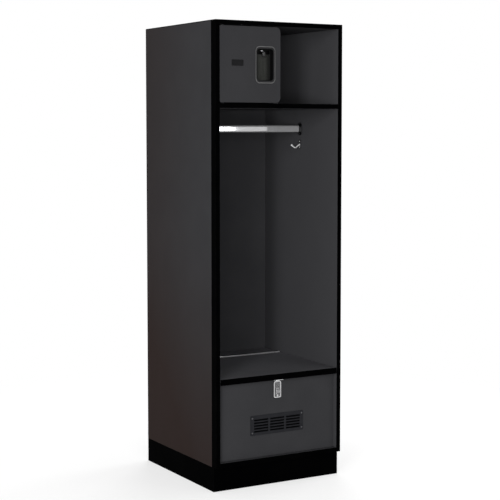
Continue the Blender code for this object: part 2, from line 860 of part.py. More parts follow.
def build_vent(panel):
    # A flanged grille whose collar sits in the panel's cut-out, with slanted louvres cut through both
    columns_width = louvre_columns * louvre_width + (louvre_columns - 1) * louvre_mullion
    rows_height = (louvre_rows - 1) * louvre_pitch + louvre_opening
    collar_width = columns_width + 2 * vent_collar_margin
    collar_height = rows_height + 2 * vent_collar_margin + louvre_rise
    flange_back = front_panel_face - seat_gap
    flange_front = flange_back - vent_flange
    outline = rounded_outline(vent_width, vent_height, (vent_radius,) * 4)
    grille = add_piece("vent_grille", flat_mesh("vent_grille", [outline], vent_flange), black_plastic,
                       (0, (flange_front + flange_back) / 2, vent_level), facing_front)
    ease(grille, vent_flange_ease)
    collar_back = flange_back + vent_collar_depth
    collar = add_box_guide("vent_collar", (-collar_width / 2, collar_width / 2),
                           (flange_back - vent_flange / 2, collar_back),
                           (vent_level - collar_height / 2, vent_level + collar_height / 2))
    join(grille, collar)
    depth = vent_flange + vent_collar_depth
    slope = louvre_rise / depth
    start = flange_front - overrun
    end = collar_back + overrun
    middle = (flange_front + collar_back) / 2
    half_opening = louvre_opening / 2
    profile = [
        (start, -half_opening + slope * (start - middle)), (end, -half_opening + slope * (end - middle)),
        (end, half_opening + slope * (end - middle)), (start, half_opening + slope * (start - middle)),
    ]
    slot = flat_mesh("louvre_slot", [profile], louvre_width)
    across = Matrix.Rotation(pi / 2, 4, "Z") @ Matrix.Rotation(pi / 2, 4, "X")
    places = []
    for column in range(louvre_columns):
        x = (column - (louvre_columns - 1) / 2) * (louvre_width + louvre_mullion)
        for row in range(louvre_rows):
            z = vent_level + (row - (louvre_rows - 1) / 2) * louvre_pitch
            places.append(Matrix.Translation((x, 0, z)) @ across)
    cut(grille, add_guide("louvre_slots", grouped_mesh("louvre_slots", slot, places)))
    half_cut_width = collar_width / 2 + vent_fit_gap
    half_cut_height = collar_height / 2 + vent_fit_gap
    cut(panel, add_box_guide("vent_cutout", (-half_cut_width, half_cut_width),
                             (front_panel_face - overrun, front_panel_back + overrun),
                             (vent_level - half_cut_height, vent_level + half_cut_height)))
    screw_x = vent_width / 2 - vent_screw_side
    screw_z = vent_height / 2 - vent_screw_end
    places = [faced((side * screw_x, flange_front, vent_level + end_way * screw_z), "front")
              for side in (-1, 1) for end_way in (-1, 1)]
    drill("vent_screw_holes", places, screw_shank_radius, screw_shank_length + screw_hole_gap,
          [grille, panel])
    screw = turned_mesh("vent_screw", screw_profile(), screw_sides)
    for number, place in enumerate(places, 1):
        seat = place.translation - Vector((0, seat_gap, 0))
        add_piece("vent_screw_" + str(number), screw, steel_plate, seat, facing_front)


def build_hasp():
    own_leaf = (0, 2)
    own_strap = (1,)
    half_barrel = hasp_knuckle_width * hasp_knuckles / 2
    # The leaf lies under the lid's overhang, drawn from above with its tabs toward the barrel
    leaf_front = front + hasp_leaf_front_gap - hasp_depth
    leaf_outline = comb_outline(half_barrel, hasp_knuckles, own_leaf, leaf_front,
                                -hasp_barrel_radius - hasp_notch_gap,
                                -hasp_bore_radius + seat_gap, seat_gap / 2)
    leaf_level = seat_bottom - seat_gap - hasp_leaf_thickness / 2
    leaf = add_piece("hasp_leaf", flat_mesh("hasp_leaf", [leaf_outline], hasp_leaf_thickness),
                     chrome_plate, (0, hasp_depth, leaf_level), lying_flat, lid_axis)
    join(leaf, barrel_guide("hasp_leaf_barrel", half_barrel, hasp_knuckles, own_leaf, hasp_barrel_radius,
                            hasp_bore_radius, seat_gap / 2, hasp_axis_place, lid_axis))
    pin = cylinder_mesh("hasp_pin", hasp_pin_radius, 2 * half_barrel, barrel_sides)
    add_piece("hasp_pin", pin, steel_plate, hasp_axis_place, (0, pi / 2, 0), lid_axis)
    # The strap hangs from the middle knuckle, in front of the staple
    strap_middle = (hasp_top + hasp_foot) / 2
    radii = (hasp_top_radius, hasp_top_radius, hasp_foot_radius, hasp_foot_radius)
    body = rounded_outline(hasp_width, hasp_height, radii)
    slot = rounded_outline(hasp_slot_width, hasp_slot_height, (hasp_slot_width / 2 - seat_gap,) * 4,
                           slot_steps, (0, staple_level - strap_middle))
    strap = add_piece("hasp_strap", flat_mesh("hasp_strap", [body, slot], hasp_thickness), chrome_plate,
                      (0, hasp_depth, strap_middle), facing_front, hasp_axis)
    ease(strap, hasp_ease, 2)
    neck_top = hasp_level - (hasp_bore_radius + hasp_barrel_radius) / 2 + seat_gap
    half_neck = hasp_knuckle_width / 2 - seat_gap / 2
    half_thickness = hasp_thickness / 2 - seat_gap / 2
    join(strap, add_box_guide("hasp_neck", (-half_neck, half_neck),
                              (hasp_depth - half_thickness, hasp_depth + half_thickness),
                              (hasp_top - hasp_top_radius, neck_top), hasp_axis))
    join(strap, barrel_guide("hasp_strap_barrel", half_barrel, hasp_knuckles, own_strap,
                             hasp_barrel_radius, hasp_bore_radius, seat_gap / 2, hasp_axis_place,
                             hasp_axis))
    button_profile = domed_profile(hasp_button_radius, hasp_button_height)
    button_profile += [(hasp_button_radius, -half_thickness), (0, -half_thickness)]
    button = turned_mesh("hasp_button", button_profile, barrel_sides)
    button_place = (0, hasp_depth - hasp_thickness / 2, hasp_foot + hasp_button_from_foot)
    join(strap, add_guide("hasp_button", button, button_place, facing_front, hasp_axis))
    build_staple()


def build_staple():
    # A wire loop on a plate, standing out through the strap's slot
    plate_back = front_panel_face - seat_gap
    plate_front = plate_back - staple_plate_thickness
    plate_middle = (plate_back + plate_front) / 2
    outline = rounded_outline(staple_plate_width, staple_plate_height, (staple_plate_radius,) * 4)
    staple = add_piece("hasp_staple", flat_mesh("hasp_staple", [outline], staple_plate_thickness),
                       chrome_plate, (0, plate_middle, staple_level), facing_front)
    bend_depth = plate_front - staple_reach + staple_wire_radius
    route = [(0, plate_middle, staple_level - staple_half_span)]
    for depth, rise in arc((0, 0), staple_half_span, 270, 90, barrel_sides):
        route.append((0, bend_depth + depth, staple_level + rise))
    route.append((0, plate_middle, staple_level + staple_half_span))
    join(staple, add_guide("staple_loop", wire_mesh("staple_loop", route, staple_wire_radius)))
    half_screws = staple_plate_height / 2 * staple_screw_share
    places = [faced((0, plate_front, staple_level + way * half_screws), "front") for way in (-1, 1)]
    drill("staple_holes", places, small_shank_radius, staple_plate_thickness + overrun, [staple])


def build_foot_locker():
    panel = add_board("footlocker_front", (-inner_half + seat_gap, inner_half - seat_gap),
                      (front_panel_face, front_panel_back), (floor_top + seat_gap, front_panel_top),
                      grey_laminate)
    build_seat_supports()
    build_lid()
    build_seat_hinge()
    build_vent(panel)
    build_hasp()


def cup_mesh():
    # A closed loft of rounded rectangles: up the outside, over the rim and down into the pocket
    crown_outer, crown_inner = rim_crown_shares
    floor_side = cup_wall - cup_draft
    rings = (
        (floor_side - cup_fillet, floor_side - cup_fillet, cup_depth + cup_wall),
        (floor_side, floor_side, cup_depth + cup_wall - cup_fillet),
        (cup_wall, cup_wall, -seat_gap),
        (cup_rim_side, cup_rim_end, -seat_gap),
        (cup_rim_side, cup_rim_end, -cup_rim_edge),
        (cup_rim_side * (1 - crown_outer), cup_rim_end * (1 - crown_outer), -cup_rim_height),
        (cup_rim_side * (1 - crown_inner), cup_rim_end * (1 - crown_inner), -cup_rim_height),
        (0, 0, -cup_rim_height * rim_lip_share),
        (-cup_draft, -cup_draft, cup_depth - cup_fillet),
        (-cup_draft - cup_fillet, -cup_draft - cup_fillet, cup_depth),
    )
    shape = bmesh.new()
    loops = []
    for side_offset, end_offset, depth in rings:
        width = cup_pocket_width + 2 * side_offset
        height = cup_pocket_height + 2 * end_offset
        outline = rounded_outline(width, height, (cup_pocket_radius + side_offset,) * 4)
        loops.append([shape.verts.new((x, depth, z)) for x, z in outline])
    for lower, upper in zip(loops, loops[1:]):
        for index in range(len(lower)):
            following = (index + 1) % len(lower)
            shape.faces.new((lower[index], lower[following], upper[following], upper[index]))
    shape.faces.new(loops[0])
    shape.faces.new(loops[-1])
    mesh = bpy.data.meshes.new("latch_cup")
    shape.to_mesh(mesh)
    shape.free()
    shade_round(mesh)
    return tidied(mesh)


def pivot_profile(grow):
    # From the pin's tip down to the end of its tail, grown all round for the hole that takes it
    top = pivot_pin_rise + grow
    flange_top = grow
    flange_bottom = -pivot_flange_thickness - grow
    tail_end = -pivot_tail_length - grow
    return [
        (0, top), (pivot_pin_radius + grow, top), (pivot_pin_radius + grow, flange_top),
        (pivot_flange_radius + grow, flange_top), (pivot_flange_radius + grow, flange_bottom),
        (pivot_pin_radius + grow, flange_bottom), (pivot_pin_radius + grow, tail_end), (0, tail_end),
    ]


def build_pivots(door, top_board, shelf):
    # A flanged pin in each end of the door turns in a collared bush in the board next to it
    axis_x, axis_y = door_axis_place[:2]
    collar = door_end_gap - seat_gap - seat_gap
    bore = pivot_pin_radius + seat_gap
    bush_profile = [
        (bush_collar_radius, collar), (bush_collar_radius, 0), (bush_radius, 0),
        (bush_radius, -bush_depth), (bore, -bush_depth), (bore, collar),
    ]
    hole_profile = [
        (0, overrun), (bush_radius + seat_gap, overrun),
        (bush_radius + seat_gap, -bush_depth - seat_gap), (0, -bush_depth - seat_gap),
    ]
    for end, level, face, board, turn in (
        ("upper", door_top, ceiling, top_board, (0, 0, 0)),
        ("lower", door_bottom, shelf_top, shelf, (pi, 0, 0)),
    ):
        away = 1 if end == "upper" else -1
        pin = turned_mesh("pivot_pin_" + end, pivot_profile(0), barrel_sides)
        add_piece("pivot_pin_" + end, pin, black_steel, (axis_x, axis_y, level), turn, door_axis)
        hole = turned_mesh("pivot_hole_" + end, pivot_profile(seat_gap), barrel_sides)
        cut(door, add_guide("pivot_hole_" + end, hole, (axis_x, axis_y, level), turn, door_axis))
        bush = turned_mesh("pivot_bush_" + end, bush_profile, barrel_sides, closed=True)
        bush_turn = (pi, 0, 0) if end == "upper" else (0, 0, 0)
        seat = face - away * seat_gap
        add_piece("pivot_bush_" + end, bush, dark_nylon, (axis_x, axis_y, seat), bush_turn)
        bush_hole = turned_mesh("bush_hole_" + end, hole_profile, barrel_sides)
        cut(board, add_guide("bush_hole_" + end, bush_hole, (axis_x, axis_y, face), bush_turn))


def build_door(top_board, shelf):
    middle_x = (door_left + door_right) / 2
    free, hinged = door_free_side_radius, door_hinge_side_radius
    outer = rounded_outline(door_width, door_height, (free, hinged, hinged, free))
    grow = cup_wall + cup_fit_gap
    opening = rounded_outline(cup_pocket_width + 2 * grow, cup_pocket_height + 2 * grow,
                              (cup_pocket_radius + grow,) * 4, corner_steps, (cup_x - middle_x, 0))
    board = flat_mesh("security_door_panel", [outer, opening], door_thickness)
    door = add_piece("security_door_panel", board, grey_laminate,
                     (middle_x, (door_front + door_back) / 2, door_middle), facing_front, door_axis)
    ease(door, door_ease)
    build_pivots(door, top_board, shelf)
    plate_outline = rounded_outline(number_plate_width, number_plate_height, (number_plate_radius,) * 4)
    plate = flat_mesh("number_plate", [plate_outline], number_plate_thickness)
    plate_place = (door_left + number_plate_from_hinge_edge,
                   door_front - seat_gap - number_plate_thickness / 2,
                   door_middle + number_plate_above_middle)
    number_plate = add_piece("number_plate", plate, black_plastic, plate_place, facing_front, door_axis)
    ease(number_plate, number_plate_ease)


def trigger_outline():
    # Seen from the side: a stem forward through the cup's back, bent down into a finger tongue
    stem_end = slide_back
    tongue_front = cup_floor - trigger_reach
    top = trigger_top
    bottom = top - trigger_thickness
    outer = trigger_bend_radius + trigger_thickness
    centre = (tongue_front + outer, top - outer)
    low = top - outer - trigger_drop
    lip_depth = tongue_front - trigger_lip
    points = [(stem_end, bottom), (stem_end, top)]
    points += arc(centre, outer, 90, 180, corner_steps)
    points += [(tongue_front, low + trigger_lip), (lip_depth, low),
               (lip_depth + trigger_thickness, low - trigger_lip / 2),
               (tongue_front + trigger_thickness, low + trigger_lip / 2)]
    points += arc(centre, trigger_bend_radius, 180, 90, corner_steps)
    return points


def slide_outline():
    half = slide_width / 2
    low = slide_top - slide_length
    return [
        (cup_x - half, slide_top), (cup_x - half, low), (cup_x + half, low),
        (cup_x + half, arm_bottom), (nose_tip - nose_chamfer, arm_bottom),
        (nose_tip, arm_bottom + nose_chamfer), (nose_tip, arm_top), (cup_x + half, arm_top),
        (cup_x + half, slide_top),
    ]


def guide_outline():
    # A hat-shaped strap over the slide, drawn from above
    inner_half_width = slide_width / 2 + latch_running_gap
    outer_half_width = inner_half_width + guide_thickness
    flange_half_width = outer_half_width + guide_flange
    foot = cup_back + seat_gap
    flange_back = foot + guide_thickness
    crown = slide_back + latch_running_gap
    crown_back = crown + guide_thickness
    right_half = [
        (inner_half_width, crown), (inner_half_width, foot), (flange_half_width, foot),
        (flange_half_width, flange_back), (outer_half_width, flange_back), (outer_half_width, crown_back),
    ]
    left_half = [(-x, y) for x, y in reversed(right_half)]
    return [(cup_x + x, y) for x, y in right_half + left_half]


def build_latch():
    cup = add_piece("latch_cup", cup_mesh(), cup_plastic, (cup_x, door_front, door_middle), lying_flat,
                    door_axis)
    half_slot = trigger_width / 2 + latch_running_gap
    cut(cup, add_box_guide("trigger_slot", (cup_x - half_slot, cup_x + half_slot),
                           (cup_floor - overrun, cup_back + overrun),
                           (trigger_top - trigger_thickness - seat_gap,
                            trigger_top + latch_travel + latch_running_gap), door_axis))
    trigger = flat_mesh("latch_trigger", [trigger_outline()], trigger_width)
    add_piece("latch_trigger", trigger, steel_plate, (cup_x, 0, 0), facing_side, latch_axis)
    slide_middle = (slide_front + slide_back) / 2
    slide_plate = flat_mesh("latch_slide", [slide_outline()], slide_thickness)
    slide = add_piece("latch_slide", slide_plate, steel_plate, (0, slide_middle, 0), facing_front,
                      latch_axis)
    half_hole = trigger_width / 2 + seat_gap
    cut(slide, add_box_guide("slide_hole", (cup_x - half_hole, cup_x + half_hole),
                             (slide_front - overrun, slide_back + overrun),
                             (trigger_top - trigger_thickness - seat_gap, trigger_top + seat_gap),
                             latch_axis))
    guide_middles = {}
    for end, from_top in (("upper", upper_guide_from_top), ("lower", lower_guide_from_top)):
        level = slide_top - from_top - guide_height / 2
        name = "latch_guide_" + end
        strap = flat_mesh(name, [guide_outline()], guide_height)
        piece = add_piece(name, strap, steel_plate, (0, 0, level), lying_flat, door_axis)
        guide_middles[end] = (piece, level)
    flange_middle = slide_width / 2 + latch_running_gap + guide_thickness + guide_flange / 2
    face = cup_back + seat_gap + guide_thickness
    places = [faced((cup_x + way * flange_middle, face, level), "rear")
              for _, level in guide_middles.values() for way in (-1, 1)]
    drill("latch_guide_holes", places, small_shank_radius, guide_thickness + overrun,
          [piece for piece, _ in guide_middles.values()], door_axis)
    build_keeper()


def build_keeper():
    # An angle on the divider: the slide's nose drops behind its lip when the door is shut
    lip_back = slide_front - keeper_front_gap
    lip_front = lip_back - keeper_thickness
    base_right = divider_left - seat_gap
    base_left = base_right - keeper_thickness
    outline = [
        (base_right, lip_front), (base_right, lip_front + keeper_length),
        (base_left, lip_front + keeper_length), (base_left, lip_back),
        (divider_left - keeper_lip, lip_back), (divider_left - keeper_lip, lip_front),
    ]
    middle = keeper_top - keeper_height / 2
    keeper = add_piece("latch_keeper", flat_mesh("latch_keeper", [outline], keeper_height), steel_plate,
                       (0, 0, middle))
    low = keeper_top - keeper_height
    level = low + keeper_height * keeper_screw_height_share
    places = [faced((base_left, lip_front + keeper_length * share, level), "left")
              for share in keeper_screw_depth_shares]
    drill("keeper_holes", places, small_shank_radius, keeper_thickness + overrun, [keeper])
    bumper = cylinder_mesh("door_bumper", bumper_radius, bumper_thickness, barrel_sides)
    depth = divider_front - seat_gap - bumper_thickness / 2
    middle_x = (divider_left + divider_right) / 2
    offset = door_height / 2 - door_bumper_from_end
    for end, way in (("lower", -1), ("upper", 1)):
        place = (middle_x, depth, door_middle + way * offset)
        add_piece("door_bumper_" + end, bumper, dark_rubber, place, facing_front)


build_plinth()
top_panel, upper_shelf = build_carcass()
build_coat_rod()
for hook_side, hook_away in (("left", -1), ("right", 1)):
    build_coat_hook(hook_side, hook_away)
build_foot_locker()
build_door(top_panel, upper_shelf)
build_latch()
bpy.context.view_layer.update()
print("Locker built with", sum(piece.type == "MESH" for piece in locker.objects), "pieces")
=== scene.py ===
import json
from math import cos, pi, radians, sin

import bmesh
import bpy
from mathutils import Matrix, Vector


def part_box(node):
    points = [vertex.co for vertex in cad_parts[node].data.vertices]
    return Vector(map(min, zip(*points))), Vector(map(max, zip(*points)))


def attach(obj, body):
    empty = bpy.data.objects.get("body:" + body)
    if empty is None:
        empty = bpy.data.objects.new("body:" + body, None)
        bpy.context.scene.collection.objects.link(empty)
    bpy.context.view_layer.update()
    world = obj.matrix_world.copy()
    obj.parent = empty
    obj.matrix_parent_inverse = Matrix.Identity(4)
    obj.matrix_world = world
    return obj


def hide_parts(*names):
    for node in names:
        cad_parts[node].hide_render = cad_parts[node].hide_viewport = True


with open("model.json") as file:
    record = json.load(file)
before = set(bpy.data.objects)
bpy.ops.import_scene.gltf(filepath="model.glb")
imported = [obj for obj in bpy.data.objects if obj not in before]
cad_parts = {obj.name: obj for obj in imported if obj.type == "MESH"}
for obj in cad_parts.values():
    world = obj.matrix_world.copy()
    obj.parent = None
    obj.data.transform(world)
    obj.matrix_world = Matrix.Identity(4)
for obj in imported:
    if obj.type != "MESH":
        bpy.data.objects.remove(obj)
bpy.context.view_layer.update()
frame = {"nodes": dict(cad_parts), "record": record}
nodes = frame["nodes"]
scene = bpy.context.scene
print("Frame loaded with", len(nodes), "nodes")

mm = 0.001


class Socket:
    # An output of a shader node; +, -, * and abs on it add Math nodes
    def __init__(self, finish, output):
        self.finish = finish
        self.output = output

    def maths(self, operation, first, second=0.0):
        return self.finish.add("ShaderNodeMath", {"operation": operation}, {0: first, 1: second})

    def __add__(self, other):
        return self.maths("ADD", self, other)

    def __sub__(self, other):
        return self.maths("SUBTRACT", self, other)

    def __rsub__(self, other):
        return self.maths("SUBTRACT", other, self)

    def __mul__(self, other):
        return self.maths("MULTIPLY", self, other)

    __radd__, __rmul__ = __add__, __mul__

    def __abs__(self):
        return self.maths("ABSOLUTE", self)

    def least(self, other):
        return self.maths("MINIMUM", self, other)

    def most(self, other):
        return self.maths("MAXIMUM", self, other)

    def rise(self, low, high):
        # 0 below low, 1 above high, smooth between them
        values = {"Value": self, "From Min": low, "From Max": high}
        return self.finish.add("ShaderNodeMapRange", {"interpolation_type": "SMOOTHSTEP"}, values)

    def between(self, low, high):
        # 0 to 1 turned into low to high
        return self * (high - low) + low


class Finish:
    # A material with its node tree
    def __init__(self, name):
        self.material = bpy.data.materials.new(name)
        self.material.use_nodes = True
        self.tree = self.material.node_tree
        self.shader = self.tree.nodes["Principled BSDF"]
        self.place = self.add("ShaderNodeTexCoord", output="Object")
        self.heights = []

    def add(self, kind, settings=None, values=None, output=0):
        node = self.tree.nodes.new(kind)
        for key, value in (settings or {}).items():
            setattr(node, key, value)
        for key, value in (values or {}).items():
            self.feed(node.inputs[key], value)
        return Socket(self, node.outputs[output])

    def feed(self, socket, value):
        if isinstance(value, Socket):
            self.tree.links.new(value.output, socket)
        elif socket.type == "RGBA" and len(value) == 3:
            socket.default_value = (*value, 1)
        else:
            socket.default_value = value

    def parts(self):
        # X, Y and Z of the surface point, in metres
        split = self.add("ShaderNodeSeparateXYZ", values={0: self.place})
        return [Socket(self, output) for output in split.output.node.outputs]

    def noise(self, size, detail=2.0, roughness=0.5, stretch=None):
        # Soft noise from 0 to 1 whose blotches are about size metres across
        vector = self.place
        if stretch:
            values = {0: self.place, 1: stretch}
            vector = self.add("ShaderNodeVectorMath", {"operation": "MULTIPLY"}, values)
        values = {"Vector": vector, "Scale": 1 / size, "Detail": detail, "Roughness": roughness}
        return self.add("ShaderNodeTexNoise", values=values)

    def cells(self, size):
        # Distance to the middle of the nearest of many soft cells
        values = {"Vector": self.place, "Scale": 1 / size}
        return self.add("ShaderNodeTexVoronoi", {"feature": "SMOOTH_F1"}, values, "Distance")

    def mixed(self, mask, first, second):
        # The Mix node's colours are its inputs 6 and 7, and its output 2
        settings = {"data_type": "RGBA", "clamp_factor": True}
        return self.add("ShaderNodeMix", settings, {0: mask, 6: first, 7: second}, 2)

    def edgeGap(self, low, high):
        # Distance from a surface point of a box to the box's nearest edge
        gaps = []
        for part, start, end in zip(self.parts(), low, high):
            gaps.append((end - start) / 2 - abs(part - (start + end) / 2))
        x, y, z = gaps
        return x.most(y).least(y.most(z)).least(x.most(z))

    def emboss(self, height, depth):
        # Adds to the bump, with depth in metres for a height of 0 to 1
        self.heights.append(height * depth)

    def finishUp(self, colour, roughness, metallic=0.0, specular=0.5):
        inputs = self.shader.inputs
        self.feed(inputs["Base Color"], colour)
        self.feed(inputs["Roughness"], roughness)
        self.feed(inputs["Metallic"], metallic)
        inputs["Specular IOR Level"].default_value = specular
        if self.heights:
            total = sum(self.heights[1:], self.heights[0])
            values = {"Height": total, "Strength": 1.0, "Distance": 1.0}
            self.feed(inputs["Normal"], self.add("ShaderNodeBump", values=values))
        return self.material


def toned(colour, tone):
    return tuple(tone * part for part in colour)


# Finishes of the boards: a fine pebbled laminate, with edges that have lost a little colour
laminateLook = {
    "colour": (0.0284, 0.0284, 0.0306), "paler": (0.0354, 0.0354, 0.0378),
    "worn": (0.060, 0.059, 0.060), "roughness": (0.50, 0.62), "specular": 0.025,
    "pebble": 1.3 * mm, "pebbleDepth": 0.06 * mm, "cloud": 0.16, "grain": 0.45 * mm,
    "wearWidth": 1.2 * mm, "wearAmount": 0.5,
}
battenLook = {
    **laminateLook, "colour": (0.028, 0.027, 0.027), "paler": (0.033, 0.032, 0.031),
    "roughness": (0.58, 0.72), "specular": 0.05,
}
blackLook = {
    "colour": (0.0003, 0.0003, 0.0004), "paler": (0.0008, 0.0008, 0.0009),
    "worn": (0.012, 0.012, 0.012), "roughness": (0.45, 0.60), "specular": 0.0015,
    "pebble": 0.9 * mm, "pebbleDepth": 0.03 * mm, "cloud": 0.12, "grain": 0.4 * mm,
    "wearWidth": 0.8 * mm, "wearAmount": 0.4,
}
# How the noises of every board are put together
boardPattern = {
    # of cloud, grain and pebble
    "speckleShares": (0.45, 0.35, 0.20), "speckle": (0.30, 0.70),
    "rubbedSize": 0.2, "rubbed": (0.42, 0.68), "wornFrom": 0.25, "wornGloss": 0.08,
    "smearSize": 0.5, "smearStretch": (1.0, 1.0, 0.35), "smearShare": 0.7,
    "pebbleTop": 0.8, "grainDepth": 1 / 3,
}
# Single boards, as shares of the common colour; those that are seen only in shade are paler
boardTones = {
    "back_panel": 1.07, "seat_lid_panel": 1.95, "seat_rear_strip": 3.4, "footlocker_front": 1.04,
    "security_door_panel": 0.93, "side_panel_left": 1.19, "side_panel_right": 1.19,
}
# The board whose top face pales to this tone at its rear, as painted light
paintedLightRearTones = {"seat_lid_panel": 4.3}
paintedLightRearLook = {"skin": 1.0 * mm, "speckle": (1.0, 0.8)}
# Side boards, with painted light and shade: paler inside as painted light, most in the cubby, and
# darker outside toward the foot and the rear as painted shade
sideLook = {
    # tones of the inner face, of its rear corner and of the cubby: painted light on the face,
    # painted shade in the corner, painted light in the cubby
    "innerTones": (1.37, 0.95, 2.30), "innerSpeckle": (0.7, 1.0), "corner": (0.155, 0.245),
    "cubbyFoot": 1.586, "cubby": (-0.18, 0.22), "cubbySide": (0.0, 0.01),
    "outerFace": 0.3040, "blend": 1.0 * mm,
    "low": (0.0240, 0.0152, 0.0135), "lowness": (-0.10, 1.18), "amount": 0.97,
    "rearward": (-0.25, 0.38), "rearAmount": 0.55, "cloudSpread": (0.9, 1.1),
}


def sideColour(finish, look, side, colour, speckle, cloud):
    # Paints light and shade: a paler inner face, a darker inner rear corner and a palest cubby wall
    x, y, z = finish.parts()
    outer = abs(x).rise(side["outerFace"] - side["blend"], side["outerFace"])
    inner, corner, paintedCubbyLight = (toned(look["paler"], tone) for tone in side["innerTones"])
    inner = finish.mixed(y.rise(*side["corner"]), inner, corner)
    overShelf = z.rise(side["cubbyFoot"], side["cubbyFoot"] + 2 * side["blend"])
    cubby = x.rise(*side["cubbySide"]) * overShelf * y.rise(*side["cubby"])
    inner = finish.mixed(cubby, inner, paintedCubbyLight)
    inner = finish.mixed(speckle.between(*side["innerSpeckle"]), colour, inner)
    # Painted shade on the outer face, darker and browner toward the foot and the rear
    rearward = y.rise(*side["rearward"]) * side["rearAmount"]
    lowness = (1 - z.rise(*side["lowness"]) + rearward) * cloud.between(*side["cloudSpread"])
    colour = finish.mixed(outer, inner, colour)
    return finish.mixed(outer * lowness * side["amount"], colour, side["low"])


def laminate(name, look, low, high, tone, side, paintedLightRearTone):
    finish = Finish(name)
    pattern = boardPattern
    rear = toned(look["colour"], paintedLightRearTone or 1.0)
    look = {**look, "colour": toned(look["colour"], tone), "paler": toned(look["paler"], tone)}
    cloud = finish.noise(look["cloud"], 3.0)
    grain = finish.noise(look["grain"], 1.0)
    pebble = finish.cells(look["pebble"])
    rubbed = finish.noise(look["cloud"] * pattern["rubbedSize"], 4.0, 0.6).rise(*pattern["rubbed"])
    shares = pattern["speckleShares"]
    speckle = cloud * shares[0] + grain * shares[1] + pebble * shares[2]
    colour = finish.mixed(speckle.rise(*pattern["speckle"]), look["colour"], look["paler"])
    # Painted light and shade on the side boards
    if side:
        colour = sideColour(finish, look, side, colour, speckle, cloud)
    # Painted light: the top face pales toward its rear
    if paintedLightRearTone:
        _, y, z = finish.parts()
        onTop = z.rise(high[2] - 2 * paintedLightRearLook["skin"], high[2] - paintedLightRearLook["skin"])
        rearward = y.rise(low[1], high[1]) * onTop * speckle.between(*paintedLightRearLook["speckle"])
        colour = finish.mixed(rearward, colour, rear)
    width = look["wearWidth"]
    gap = finish.edgeGap(low, high) + (grain - 0.5) * width
    worn = (1 - gap.rise(width * pattern["wornFrom"], width)) * rubbed
    colour = finish.mixed(worn * look["wearAmount"], colour, look["worn"])
    smear = finish.noise(look["cloud"] * pattern["smearSize"], stretch=pattern["smearStretch"])
    share = pattern["smearShare"]
    rough = (smear * share + grain * (1 - share)).between(*look["roughness"])
    finish.emboss(pebble.rise(0.0, pattern["pebbleTop"]), look["pebbleDepth"])
    finish.emboss(grain, look["pebbleDepth"] * pattern["grainDepth"])
    rough = rough - worn * pattern["wornGloss"]
    return finish.finishUp(colour, rough, specular=look["specular"])


# Finishes of the metal: plating with dull patches, small pits and fine wiping marks
chromeLook = {
    "colour": (0.60, 0.60, 0.61), "dulled": (0.50, 0.50, 0.50), "roughness": (0.15, 0.24),
    "metallic": 1.0, "smear": 18 * mm, "scratch": 0.5 * mm, "scratchDepth": 0.004 * mm,
}
rodFinish = {
    **chromeLook, "colour": (0.52, 0.52, 0.53), "dulled": (0.45, 0.45, 0.45),
    "roughness": (0.04, 0.07), "metallic": 0.55,
}
mountLook = {
    **chromeLook, "colour": (0.10, 0.10, 0.105), "dulled": (0.07, 0.07, 0.07),
    "roughness": (0.30, 0.42),
}
hookLook = {
    **chromeLook, "colour": (0.95, 0.95, 0.96), "dulled": (0.84, 0.84, 0.84),
    "roughness": (0.32, 0.42), "metallic": 0.55,
}
hingeLook = {
    **chromeLook, "colour": (0.44, 0.44, 0.45), "dulled": (0.36, 0.36, 0.36),
    "roughness": (0.34, 0.46), "metallic": 0.60,
}
haspLook = {
    **chromeLook, "colour": (0.62, 0.62, 0.63), "dulled": (0.48, 0.48, 0.48),
    "roughness": (0.22, 0.34), "smear": 9 * mm, "scratch": 0.4 * mm, "scratchDepth": 0.005 * mm,
    "field": (0.07, 0.07, 0.07), "mottle": (0.24, 0.24, 0.25), "mottleSize": 6.0 * mm,
    "mottleSpread": (0.30, 0.72), "fieldRough": 0.08, "along": (1.0, 1.0, 0.2),
    "faceFromLeaf": 4.0 * mm, "fieldDepths": (0.25 * mm, 0.75 * mm),
}
zincLook = {
    **chromeLook, "colour": (0.17, 0.17, 0.18), "dulled": (0.12, 0.12, 0.12),
    "roughness": (0.30, 0.46), "smear": 10 * mm, "scratch": 0.4 * mm, "scratchDepth": 0.006 * mm,
}
triggerLook = {
    **zincLook, "colour": (0.060, 0.060, 0.060), "dulled": (0.042, 0.042, 0.042),
    "roughness": (0.46, 0.58),
}
darkSteelLook = {
    **chromeLook, "colour": (0.035, 0.035, 0.037), "dulled": (0.022, 0.022, 0.022),
    "roughness": (0.35, 0.50), "smear": 6 * mm, "scratch": 0.4 * mm,
}
metalPattern = {
    "dull": (0.40, 0.78), "dullShare": 0.6, "marksShare": 0.4,
    "pitSize": 1.6, "pits": (0.68, 0.80), "pitShare": 0.4, "pitRough": 0.1,
}


def plated(name, look, along=(1.0, 1.0, 1.0)):
    # The wiping marks run in the direction in which along is small
    finish = Finish(name)
    pattern = metalPattern
    dull = finish.noise(look["smear"], 3.0, 0.55).rise(*pattern["dull"])
    marks = finish.noise(look["scratch"], 2.0, 0.6, stretch=along)
    pits = finish.noise(look["scratch"] * pattern["pitSize"], 1.0).rise(*pattern["pits"])
    dulled = dull * pattern["dullShare"] + pits * pattern["pitShare"]
    colour = finish.mixed(dulled, look["colour"], look["dulled"])
    rough = dull * pattern["dullShare"] + marks * pattern["marksShare"]
    rough = rough.between(*look["roughness"]) + pits * pattern["pitRough"]
    finish.emboss(marks, look["scratchDepth"])
    return finish.finishUp(colour, rough, metallic=look["metallic"])


